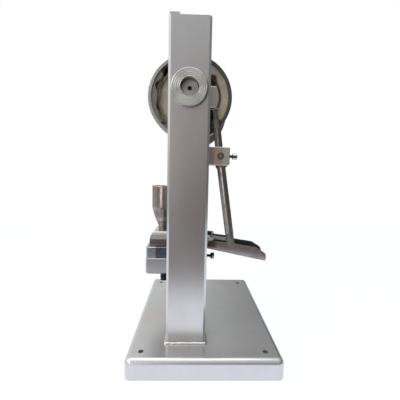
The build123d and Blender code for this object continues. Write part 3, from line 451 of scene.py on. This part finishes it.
def hopper_steel():
    """Spun stainless, with upright brown and light streaks of painted reflection, darker down the neck."""
    f = Finish("hopper_steel", Metallic=1.0)
    x, y, z = f.parts()
    turn = f.add("Math", {"operation": "ARCTAN2"}, {0: y - HOPPER_Y, 1: x})
    around = f.add("CombineXYZ", None, {0: turn, 2: z * 3})
    # painted reflection, in upright brown and light streaks round the hopper
    reflection_streaks = f.noise(5.5, 3, 0.6, around)
    spots = f.noise(140, 4, 0.7).between(0.5, 0.72)
    neck = 1 - z.between(232 * MM, 243 * MM)
    flare = z.between(238 * MM, 246 * MM) * (1 - z.between(256 * MM, 265 * MM))
    metal = f.mix(reflection_streaks.between(0.42, 0.6), (0.36, 0.31, 0.29), (0.52, 0.48, 0.44))
    metal = f.mix(flare * 0.7, metal, (0.15, 0.13, 0.12))
    metal = f.mix(neck * 0.8, metal, (0.13, 0.12, 0.11))
    f.set(Base_Color=f.tint(metal, 1.0 - spots * 0.06))
    f.set(Roughness=0.24 + reflection_streaks * 0.1 + spots * 0.06 + neck * 0.06)
    f.bump(f.noise(30, 2) * 0.4, 0.0003)
    return f.material


def blackened_steel():
    """Black oxide, worn grey in spots."""
    f = Finish("blackened_steel", Metallic=0.75)
    grain = f.noise(420, 4, 0.6)
    worn = f.noise(150, 4, 0.65).between(0.6, 0.8)
    black = f.tint((0.022, 0.022, 0.025), 0.7 + grain * 0.6)
    f.set(Base_Color=f.mix(worn * 0.6, black, (0.2, 0.19, 0.18)))
    f.set(Roughness=0.38 + grain * 0.15)
    f.bump(grain, 0.00012)
    return f.material


def zinc_plate():
    """Zinc plate with a dull bloom."""
    f = Finish("zinc_plate", Metallic=1.0)
    grain = f.noise(500, 3, 0.6)
    bloom = f.noise(90, 4, 0.6).between(0.5, 0.8)
    f.set(Base_Color=f.mix(bloom, f.tint((0.6, 0.6, 0.58), 0.8 + grain * 0.3), (0.42, 0.41, 0.37)))
    f.set(Roughness=0.28 + grain * 0.12 + bloom * 0.2)
    f.bump(grain, 0.0001)
    return f.material


def bronze():
    """Bearing bronze, tarnished in patches."""
    f = Finish("bronze", Metallic=1.0)
    grain = f.noise(300, 4, 0.6)
    tarnish = f.noise(40, 5, 0.65).between(0.4, 0.7)
    f.set(Base_Color=f.mix(tarnish, f.tint((0.5, 0.35, 0.2), 0.85 + grain * 0.25), (0.23, 0.16, 0.1)))
    f.set(Roughness=0.3 + grain * 0.12 + tarnish * 0.15)
    f.bump(grain, 0.0001)
    return f.material


def grip_plastic():
    """Glossy black plastic, scuffed dull in patches."""
    f = Finish("grip_plastic", Coat_Roughness=0.15)
    grain = f.noise(600, 3, 0.6)
    scuff = f.noise(70, 5, 0.7).between(0.55, 0.8)
    black = f.tint((0.018, 0.018, 0.02), 0.8 + grain * 0.4)
    f.set(Base_Color=f.mix(scuff * 0.4, black, (0.08, 0.08, 0.08)))
    f.set(Roughness=0.3 + scuff * 0.3 + grain * 0.06, Coat_Weight=0.4 - scuff * 0.3)
    f.bump(grain, 0.00008)
    return f.material


def grease():
    """Thick machine grease, yellow-grey, dirty in patches."""
    f = Finish("grease")
    lumps = f.noise(140, 5, 0.65)
    dirt_and_shade = f.noise(45, 5, 0.7).between(0.42, 0.62)
    f.set(Base_Color=f.mix(dirt_and_shade, f.tint((0.34, 0.315, 0.24), 0.8 + lumps * 0.4), (0.13, 0.12, 0.09)))
    f.set(Roughness=0.33 + lumps * 0.2)
    f.bump(lumps, 0.0006)
    return f.material


# ---------------------------------------------------------------- stage, light and camera
CAMERA_PLACE = (0.580463, -0.023071, 0.336437)
CAMERA_LENS = 24.39
CAMERA_SWING, CAMERA_NOD, CAMERA_ROLL = 0.0960, 0.0270, -0.0183      # radians


def camera():
    """Low, square to the near column, and turned a little to one side."""
    data = bpy.data.cameras.new("camera")
    data.sensor_width, data.lens = 36, CAMERA_LENS
    data.clip_start, data.clip_end = 0.01, 30
    obj = bpy.data.objects.new("camera", data)
    bpy.context.scene.collection.objects.link(obj)
    square_on = Matrix(((0, 1, 0), (0, 0, 1), (1, 0, 0)))
    tilt = Matrix.Rotation(CAMERA_ROLL, 3, "Z") @ Matrix.Rotation(CAMERA_NOD, 3, "Y")
    tilt = tilt @ Matrix.Rotation(CAMERA_SWING, 3, "X") @ square_on
    obj.matrix_world = Matrix.LocRotScale(CAMERA_PLACE, tilt.transposed(), None)
    bpy.context.scene.camera = obj


def lamp(name, place, aim, size, watts, height=None):
    """A round area lamp, or an upright rectangle where it has a height."""
    data = bpy.data.lights.new(name, "AREA")
    data.shape, data.size, data.energy = "DISK", size, watts
    if height:
        data.shape, data.size_y = "RECTANGLE", height
    obj = bpy.data.objects.new(name, data)
    bpy.context.scene.collection.objects.link(obj)
    obj.location = place
    obj.rotation_euler = (Vector(aim) - Vector(place)).to_track_quat("-Z", "Y").to_euler()


def room():
    """Soft light from all round: bright on the hopper's side and overhead, dim and warm in front."""
    world = bpy.data.worlds.new("room")
    bpy.context.scene.world = world
    world.use_nodes = True
    f = Shading(world.node_tree, "Generated")
    dx, dy, dz = f.parts()
    front = dx.between(-0.1, 0.75)
    back_right = (dx * -1).between(0.3, 0.8) * dy.between(-0.04, 0.24)
    low_left = (dy * -1).between(0.2, 0.8) * (1 - dz.between(-0.05, 0.22))
    around = 0.56 - dy * 0.42 + dz * 0.22 - back_right * 0.3 - low_left * 0.55
    ahead = 0.13 + dz * 0.76 - dy * 0.22
    level = around + front * (ahead - around)
    level = f.add("Clamp", None, {"Value": level, "Min": 0.07, "Max": 1.15})
    warm = front * (1 - dz.between(-0.1, 0.45))
    light = f.tint(f.mix(warm, (0.995, 1.0, 0.99), (1.33, 0.96, 0.85)), level)
    # a white backdrop, seen straight on and mirrored low behind the object
    backdrop = (dx * -1).between(0.8, 0.95) * (1 - dz.between(0.05, 0.2))
    white = f.ray("Camera") + f.ray("Transmission") + f.ray("Glossy") * backdrop
    f.feed(f.tree.nodes["Background"].inputs["Color"], f.mix(white, light, (1, 1, 1)))


def floor():
    """White floor that stays white round the object's shadow, and turns dark in front for mirrors only."""
    bpy.ops.object.select_all(action="DESELECT")
    bpy.ops.mesh.primitive_plane_add(size=FLOOR_SIZE, location=(0, 0, 0))
    plane = bpy.context.object
    plane.name = "floor"
    f = Finish("pale_floor", Roughness=0.9, Specular_IOR_Level=0.1)
    away = f.parts()[0].between(FLOOR_EDGE, FLOOR_EDGE + FLOOR_FADE)
    tone = f.mix(away, (0.93, 0.97, 1.0), (0.13, 0.105, 0.1))
    f.set(Base_Color=f.tint(tone, 0.985 + f.noise(30, 3) * 0.03))
    straight = (f.ray("Camera") + f.ray("Transmission")) * (FLOOR_GLOW + away * (1 - FLOOR_GLOW))
    lit = straight + f.ray("Glossy") * (1 - away) * FLOOR_GLOW
    glow = f.add("Emission", None, {"Color": (0.955, 0.975, 1.06), "Strength": 1.06})
    mixed = f.add("MixShader", None, {0: lit, 1: Tap(f, f.shader.outputs[0]), 2: glow})
    f.feed(f.tree.nodes["Material Output"].inputs["Surface"], mixed)
    f.material.cycles.emission_sampling = "NONE"
    plane.data.materials.append(f.material)


def stage():
    """Everything round the object: the room, the floor, three lamps and the camera."""
    bpy.context.scene.view_settings.view_transform = "Standard"
    room()
    floor()
    lamp("key", place=(0.9, -1.2, 1.25), aim=(0, 0, 0.3), size=1.0, watts=10.5)
    lamp("top", place=(0.1, -0.1, 1.9), aim=(0, 0, 0.2), size=1.4, watts=8)
    lamp("strip", place=(1.5, -0.62, 0.25), aim=(0, 0, 0.25), size=0.3, watts=3, height=1.0)
    camera()


# ---------------------------------------------------------------- modelling by hand
def begin(name, primitive, **settings):
    """Add one primitive in its place, and open it for editing with nothing selected."""
    bpy.ops.object.select_all(action="DESELECT")
    getattr(bpy.ops.mesh, f"primitive_{primitive}_add")(**settings)
    piece = bpy.context.object
    piece.name = piece.data.name = name
    bpy.ops.object.transform_apply(location=True, rotation=True, scale=True)
    bpy.ops.object.mode_set(mode="EDIT")
    bpy.ops.mesh.select_all(action="DESELECT")
    return piece


def begin_block(name, low, high):
    """Open a block between two corners."""
    return begin(name, "cube", size=1, location=(low + high) / 2, scale=high - low)


def begin_line(name, points):
    """Open a line of edges through points, drawn by extruding a vertex."""
    piece = begin(name, "plane", size=MM, location=points[0])
    bpy.ops.mesh.select_all(action="SELECT")
    bpy.ops.mesh.merge(type="CENTER")
    for near, far in zip(points, points[1:]):
        bpy.ops.mesh.extrude_vertices_move(TRANSFORM_OT_translate={"value": far - near})
    return piece


def pick(kind, test):
    """Select the VERTs or EDGEs whose middle passes a test."""
    bpy.ops.mesh.select_mode(type=kind)
    bpy.ops.mesh.select_all(action="DESELECT")
    mesh = bmesh.from_edit_mesh(bpy.context.object.data)
    for part in mesh.verts if kind == "VERT" else mesh.edges:
        corners = [part] if kind == "VERT" else part.verts
        middle = sum((corner.co for corner in corners), Vector()) / len(corners)
        if test(middle):
            part.select_set(True)
    if kind == "VERT":
        mesh.select_flush(True)
    bmesh.update_edit_mesh(bpy.context.object.data)


def modify(piece, kind, **settings):
    """Add a modifier and apply it."""
    bpy.ops.object.mode_set(mode="OBJECT")
    bpy.ops.object.modifier_add(type=kind)
    modifier = piece.modifiers[-1]
    for name, value in settings.items():
        setattr(modifier, name, value)
    bpy.ops.object.modifier_apply(modifier=modifier.name)
    bpy.ops.object.mode_set(mode="EDIT")


def ease_edges(piece, width):
    """A small bevel on every sharp edge."""
    modify(piece, "BEVEL", width=width, segments=2, limit_method="ANGLE", angle_limit=radians(50))


def close_up():
    """Merge what lies together, fill small open ends and turn the faces outwards."""
    bpy.ops.mesh.select_all(action="SELECT")
    bpy.ops.mesh.remove_doubles(threshold=0.01 * MM)
    bpy.ops.mesh.fill_holes(sides=4)
    bpy.ops.mesh.normals_make_consistent(inside=False)


def stand_along(piece, start, direction):
    """Move a piece drawn up the Z axis so that it starts at a point and runs along a direction."""
    bpy.ops.object.mode_set(mode="OBJECT")
    piece.matrix_world = Matrix.LocRotScale(start, direction.to_track_quat("Z", "Y"), None)
    bpy.ops.object.transform_apply(location=True, rotation=True, scale=True)


def finish(piece, material, body, slot, stands_for=(), angle=38):
    """Smooth a piece's rounded faces, give it its material and let it ride on its body."""
    bpy.ops.object.mode_set(mode="OBJECT")
    bpy.ops.object.select_all(action="DESELECT")
    piece.select_set(True)
    bpy.context.view_layer.objects.active = piece
    bpy.ops.object.shade_smooth_by_angle(angle=radians(angle))
    piece.data.materials.clear()
    piece.data.materials.append(material)
    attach(piece, body)
    if stands_for:
        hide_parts(*stands_for)


def arc(centre, radius, start, end, steps):
    """Points (across, up) of an arc, with its angles in degrees."""
    turns = [radians(start + (end - start) * k / steps) for k in range(steps + 1)]
    return [(centre[0] + radius * cos(a), centre[1] + radius * sin(a)) for a in turns]


def begin_spun(name, section, steps=72):
    """Open a round shell, turned about the Z axis from its closed section (radius, height) in millimetres."""
    points = [Vector((r, 0, z)) * MM for r, z in section]
    piece = begin_line(name, [*points, points[0]])
    bpy.ops.mesh.select_all(action="SELECT")
    bpy.ops.mesh.spin(steps=steps, angle=2 * pi, center=(0, 0, 0), axis=(0, 0, 1))
    close_up()
    return piece


# ---------------------------------------------------------------- pieces
def hopper_shell(material):
    """Spun funnel: a neck, a soldered seam, a bell and a rolled rim."""
    wall = 1.2
    neck_foot, rim_inside = 203.5, (22.55, 305)
    neck = [(9.95, neck_foot), (9.95, 222), (10.2, 224.6), (11.5, 227.7), (14.3, 234.6)]
    seam = arc((14.9, 236.3), 1.3, -75, 50, 4)
    bell = [(17.2, 240), (18.9, 245.5), (20.5, 251), (21.8, 255.6), (23, 260), (23.6, 263), (23.8, 266)]
    mouth = [(23.8, 292), (23.75, 307.6)]
    rim = arc((23.45, 308.75), 1.2, -70, 200, 8)
    inside = [(r - wall, z) for r, z in reversed(bell)]
    inside += [(13.6, 236.4), (10.4, 228.4), (9, 225), (8.75, 222), (8.75, neck_foot)]
    piece = begin_spun("hopper_shell", neck + seam + bell + mouth + rim + [rim_inside] + inside)
    stand_along(piece, Vector((0, HOPPER_Y, 0)), Vector((0, 0, 1)))
    finish(piece, material, "hopper", "stainless_sheet", ["hopper"])


def chute_section(floor_y, top_y, top_z, extra=2.2):
    """Points across the chute: near wall's top, the floor's two corners, far wall's top."""
    floor_z = CHUTE_START[1] + CHUTE_SLOPE * (floor_y - CHUTE_START[0])
    near, far = CHUTE_HALF, -CHUTE_HALF
    points = [(near, top_y, top_z), (near, floor_y, floor_z)]
    points += [(far, floor_y, floor_z), (far, top_y, top_z + extra)]
    return [Vector(point) * MM for point in points]


def draw_strips(lines):
    """Extrude a line of edges from one row of points to the next."""
    near_enough = 0.02 * MM
    for near, far in zip(lines, lines[1:]):
        pick("VERT", lambda place: min((place - point).length for point in near) < near_enough)
        step = far[1] - near[1]
        bpy.ops.mesh.extrude_region_move(TRANSFORM_OT_translate={"value": step})
        for start, end in zip(near, far):
            moved = start + step
            pick("VERT", lambda place: (place - moved).length < near_enough)
            bpy.ops.transform.translate(value=end - moved)


def chute_sheet(material):
    """Folded channel whose side walls are cut back in a curve towards the lip."""
    # floor's Y, then Y and Z of the near wall's top, and how much higher the far wall's top is
    rows = [(CHUTE_START[0], 5.5, 197.9), (34, 35, 195.1), (63, 66, 191.6), (79, 82, 188.8),
            (94, 96.5, 186.8), (107, 110.5, 184.7), (111, 113.6, 183.6), (117, 120.3, 179.6),
            (124, 127.3, 175.2), (128, 131.3, 172.5), (130.3, 133.1, 170.6, 1), (131.8, 134.4, 168, 0.5),
            (132.9, 135, 164.6, 0), (CHUTE_LIP[0], 135, 161, 0)]
    lines = [chute_section(*row) for row in rows]
    piece = begin_line("chute_sheet", lines[0])
    draw_strips(lines)
    lip = lines[-1][1]

    def on_fold(place):
        above_floor = place.z - lip.z - CHUTE_SLOPE * (place.y - lip.y)
        return abs(place.x) > lip.x - 0.1 * MM and abs(above_floor) < 0.1 * MM

    pick("EDGE", on_fold)
    bpy.ops.mesh.bevel(offset=2.6 * MM, segments=4, affect="EDGES")
    bpy.ops.mesh.select_all(action="SELECT")
    bpy.ops.mesh.normals_make_consistent(inside=False)
    modify(piece, "SOLIDIFY", thickness=1.5 * MM, offset=-1, use_even_offset=True)
    ease_edges(piece, 0.35 * MM)
    finish(piece, material, "frame", "stainless_sheet", ["chute"])


def chute_tab(material):
    """Tab that holds the chute on the back of the table, with a hole for its screw."""
    half, foot_z = 14, 148
    low, high = Vector((-half, 5, foot_z)) * MM, Vector((half, 6.8, 182.2)) * MM
    piece = begin_block("chute_tab", low, high)

    def on_foot_corner(place):
        in_corner = abs(place.x) > (half - 1) * MM and place.z < (foot_z + 1) * MM
        return in_corner and low.y + 0.1 * MM < place.y < high.y - 0.1 * MM

    pick("EDGE", on_foot_corner)
    bpy.ops.mesh.bevel(offset=5 * MM, segments=6, affect="EDGES")
    bpy.ops.object.mode_set(mode="OBJECT")
    cutter = begin("cutter", "cylinder", vertices=40, radius=3.2 * MM, depth=20 * MM,
                   location=(0, 6 * MM, TABLE_SCREW_Z), rotation=(radians(90), 0, 0))
    bpy.ops.object.mode_set(mode="OBJECT")
    bpy.context.view_layer.objects.active = piece
    modify(piece, "BOOLEAN", object=cutter, operation="DIFFERENCE")
    ease_edges(piece, 0.3 * MM)
    bpy.ops.object.mode_set(mode="OBJECT")
    bpy.data.objects.remove(cutter)
    finish(piece, material, "frame", "stainless_sheet")


def foot_weld(column, material):
    """Hand-run weld bead round a column's foot, closed inside the column."""
    proud, sunk, tall, bead = 0.7 * MM, 0.5 * MM, 3.4 * MM, 3.2 * MM
    low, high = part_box(column)
    base_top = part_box("base_plate")[1].z
    low, high = low - Vector((proud, proud, 0)), high + Vector((proud, proud, 0))
    low.z, high.z = base_top - sunk, base_top + tall
    piece = begin_block(f"{column}_weld", low, high)

    def from_side(place):
        return min(place.x - low.x, high.x - place.x, place.y - low.y, high.y - place.y)

    def along_side(place):
        clear = 6 * MM
        return low.x + clear < place.x < high.x - clear or low.y + clear < place.y < high.y - clear

    pick("EDGE", lambda place: abs(place.z - (low.z + high.z) / 2) < 0.1 * MM)
    bpy.ops.mesh.bevel(offset=4 * MM, segments=4, affect="EDGES")
    pick("EDGE", lambda place: place.z > high.z - 0.05 * MM)
    bpy.ops.mesh.bevel(offset=3 * MM, segments=3, affect="EDGES")
    pick("EDGE", lambda place: along_side(place) and from_side(place) < bead)
    bpy.ops.mesh.subdivide(number_cuts=36)
    pick("VERT", lambda place: from_side(place) < bead)
    bpy.ops.transform.vertex_random(offset=0.5 * MM, uniform=0.4, normal=0.5, seed=7)
    bpy.ops.mesh.vertices_smooth(factor=0.4, repeat=1)
    close_up()
    finish(piece, material, "frame", "silver_paint", angle=60)


def track_grease(material):
    """Old grease, pushed by the roller into a lumpy ring against the cam track's wall."""
    ring = begin("track_grease", "torus", major_segments=120, minor_segments=10, major_radius=58.5 * MM,
                 minor_radius=2.9 * MM, location=(59.6 * MM, SHAFT_Y, SHAFT_Z), rotation=(0, radians(90), 0))
    bpy.ops.mesh.select_all(action="SELECT")
    bpy.ops.transform.vertex_random(offset=1.7 * MM, uniform=0.5, normal=0.6, seed=11)
    bpy.ops.mesh.vertices_smooth(factor=0.5, repeat=2)
    close_up()
    modify(ring, "SUBSURF", levels=1, render_levels=1)
    finish(ring, material, "shaft", "cam_steel", angle=80)


def washer(name, start, direction, inner, outer, thick, coat):
    """Flat ring with eased edges, in millimetres. Its coat is its material, body and slot."""
    ease = thick * 0.22
    section = [(inner, 0), (outer - ease, 0), (outer, ease)]
    section += [(outer, thick - ease), (outer - ease, thick), (inner, thick)]
    piece = begin_spun(name, section, 48)
    stand_along(piece, start, direction)
    finish(piece, *coat)


def thread(name, start, end, radius, pitch, coat):
    """A screw thread's ridge round a shank of this radius, in millimetres."""
    root, crest, half = radius - 0.25, radius + 0.3, pitch * 0.36
    section = [Vector(point) * MM for point in ((root, 0, 0), (crest, 0, half), (root, 0, 2 * half))]
    piece = begin_line(name, [*section, section[0]])
    close_up()
    turns = int((end - start).length / (pitch * MM)) - 1
    modify(piece, "SCREW", screw_offset=pitch * MM, iterations=turns, steps=20, render_steps=20)
    close_up()
    stand_along(piece, start, end - start)
    finish(piece, *coat, angle=50)


def lever_details(bright, dark):
    """Thread and washer on the stud under the lever's head."""
    rod = LEVER_HEAD - LEVER_PIVOT
    up = rod.normalized()
    start, end = LEVER_PIVOT + up * 66.5 * MM, LEVER_HEAD - up * 2 * MM
    thread("stud_thread", start, end, radius=4.4, pitch=1.25, coat=(dark, "lever", "polished_steel"))
    washer("stud_washer", LEVER_HEAD - up * 1.9 * MM, rod, inner=4.2, outer=7.4, thick=1.6,
           coat=(bright, "lever", "zinc_plate"))


def push_rod_details(dark, bright, lever):
    """Thread on the push rod's end, a washer beside its big nut, and the slot pin's washer."""
    pin = Vector((84.1 * MM, LEVER_FOOT.y, LEVER_FOOT.z))
    washer("slot_washer", pin, Vector((1, 0, 0)), inner=2.6, outer=7, thick=1.1,
           coat=(lever, "shoe", "tool_steel"))
    origin = Vector((49.1 * MM, 2 * MM, PUSH_ROD_Z))
    along = Vector((20.5, 40.5, 0)).normalized()
    end, root = origin - along * 19 * MM, origin - along * 10.5 * MM
    thread("push_rod_thread", end, root, radius=5.3, pitch=1.5, coat=(dark, "shoe", "polished_steel"))
    washer("push_rod_washer", origin + along * 16.2 * MM, along, inner=5.5, outer=8.6, thick=1.4,
           coat=(bright, "shoe", "zinc_plate"))


def screw_threads(black, zinc):
    """Threads on both thumbscrews and on the shaft's far end."""
    back, left = Vector((0, 1, 0)), Vector((-1, 0, 0))
    knob = Vector((92 * MM, 41.6 * MM, PIVOT_Z))
    thread("bracket_screw_thread", knob, knob + back * 5 * MM, radius=2.45, pitch=0.8,
           coat=(zinc, "bracket_knob", "zinc_plate"))
    screw = Vector((0, 7.4 * MM, TABLE_SCREW_Z))
    thread("chute_screw_thread", screw, screw + back * 10.5 * MM, radius=2.95, pitch=1,
           coat=(black, "chute_knob", "black_oxide"))
    shaft_end = Vector((-162.8 * MM, SHAFT_Y, SHAFT_Z))
    thread("shaft_end_thread", shaft_end, shaft_end + left * 5 * MM, radius=8, pitch=1.5,
           coat=(zinc, "shaft", "polished_steel"))


def turned_grip(material):
    """Barrel grip with rings turned into its middle."""
    length, end_radius, middle_radius, bore = 95, 12.2, 15, 6.1
    ease, shoulder, ring_depth, steps = 1.6, 1.5, 0.55, 60
    barrel = []
    for k in range(steps + 1):
        along = k / steps
        ring = ring_depth if 0.3 < along < 0.7 and k % 4 == 0 else 0
        radius = end_radius + (middle_radius - end_radius) * sin(pi * along) - ring
        barrel.append((radius, shoulder + (length - 2 * shoulder) * along))
    section = [(bore, 0), (end_radius - ease, 0), *barrel, (end_radius - ease, length), (bore, length)]
    piece = begin_spun("turned_grip", section, 64)
    stand_along(piece, Vector((-253 * MM, SHAFT_Y, 305 * MM)), Vector((1, 0, 0)))
    finish(piece, material, "grip", "grip_plastic", ["handle_grip"])


# ---------------------------------------------------------------- coats for the frame's own pieces
WEARERS = {
    "paint": ["base_plate", "right_column", "left_column", "top_tie_bar", "guide_beam"],
    "shaded_table_paint": ["die_table"],
    "bearing": ["right_bearing", "left_bearing", "shaft_collars", "eccentric_sheave", "crank_arm"],
    "shaft": ["main_shaft"],
    "cam": ["feed_cam_wheel", "ejection_cam"],
    "lever": ["upper_lever_rod", "lower_lever_bar", "lever_hub", "lever_lock_nut"],
    "bar_up": ["upper_ram", "lower_ram", "upper_punch", "lower_punch", "die", "lift_rod"],
    "bar_across": ["wrist_pin", "handle_spindle", "follower_pin", "slot_pin", "follower_roller",
                   "lift_roller"],
    "push_rod": ["push_rod"],
    "push_nuts": ["push_rod_nuts"],
    "bracket": ["pivot_bracket", "pivot_pin"],
    "head": ["follower_head"],
    "block": ["connecting_rod", "strap_cap", "crosshead", "lift_fork", "lift_yoke", "lift_collar",
              "drag_arm", "punch_lock_nut"],
    "die_plate": ["die_plate"],
    "shoe": ["feed_shoe"],
    "wear_plate": ["shoe_wear_plate"],
    "black": ["die_plate_bolts", "cap_screws", "die_lock_screw", "strap_bolts", "lift_spring"],
    "thumbscrew": ["bracket_thumbscrew"],
    "chute_knob": ["chute_thumbscrew"],
    "zinc": ["crank_nut", "eject_gear", "fill_gear"],
    "bronze": ["ram_guide_bush"],
}


def dress_frame(coats):
    """Give every piece of the frame its coat, in all its slots."""
    for coat, wearers in WEARERS.items():
        for name in wearers:
            for slot in nodes[name].material_slots:
                slot.material = coats[coat]


def make_coats():
    up, along = (6, 6, 0.4), (0.4, 6, 6)
    rod_steel, nut_steel = (0.56, 0.55, 0.52), (0.42, 0.41, 0.39)
    rod_oil_and_shade_z, nut_oil_and_shade_z = PUSH_ROD_Z + 2.6 * MM, PUSH_ROD_Z + 3 * MM
    return {
        "paint": silver_paint("silver_paint", (0.655, 0.66, 0.67), (0.61, 0.56, 0.54)),
        # a darker copy of the silver paint: painted shade on the die table
        "shaded_table_paint": silver_paint("silver_paint_shaded", (0.45, 0.455, 0.47), (0.43, 0.42, 0.415)),
        "bearing": turned_steel("bearing_steel", (0.48, 0.48, 0.455), 0.26, 0.0003),
        "shaft": turned_steel("shaft_steel", (0.42, 0.41, 0.4), drilled=3.2 * MM),
        "cam": cam_steel(),
        "lever": lever_steel(),
        "bar_up": drawn_steel("bright_bar_up", up, (0.62, 0.62, 0.62), 0.16),
        "bar_across": drawn_steel("bright_bar_across", along, (0.6, 0.6, 0.6), 0.18),
        "push_rod": oily_shaded_bar("push_rod_steel", rod_steel, (0.03, 0.028, 0.022), rod_oil_and_shade_z, 0.7 * MM),
        "push_nuts": oily_shaded_bar("push_nut_steel", nut_steel, (0.02, 0.02, 0.018), nut_oil_and_shade_z, 1 * MM),
        "bracket": bracket_steel(),
        "thumbscrew": thumbscrew_steel(),
        "chute_knob": knob_steel(),
        "block": drawn_steel("ground_block", (1, 6, 1), (0.46, 0.45, 0.43), 0.34),
        "head": drawn_steel("head_steel", (1, 6, 1), (0.62, 0.6, 0.54), 0.4),
        "die_plate": die_plate_steel(),
        "shoe": shoe_steel(),
        "wear_plate": drawn_steel("wear_plate_steel", (1, 4, 1), (0.26, 0.235, 0.23), 0.35),
        "chute": chute_steel(),
        "hopper": hopper_steel(),
        "black": blackened_steel(),
        "zinc": zinc_plate(),
        "bronze": bronze(),
        "plastic": grip_plastic(),
        "grease": grease(),
    }


def make_pieces(coats):
    hopper_shell(coats["hopper"])
    chute_sheet(coats["chute"])
    chute_tab(coats["chute"])
    foot_weld("right_column", coats["paint"])
    foot_weld("left_column", coats["paint"])
    track_grease(coats["grease"])
    lever_details(coats["zinc"], coats["lever"])
    push_rod_details(coats["push_rod"], coats["zinc"], coats["lever"])
    screw_threads(coats["black"], coats["zinc"])
    turned_grip(coats["plastic"])


stage()
finishes = make_coats()
dress_frame(finishes)
make_pieces(finishes)
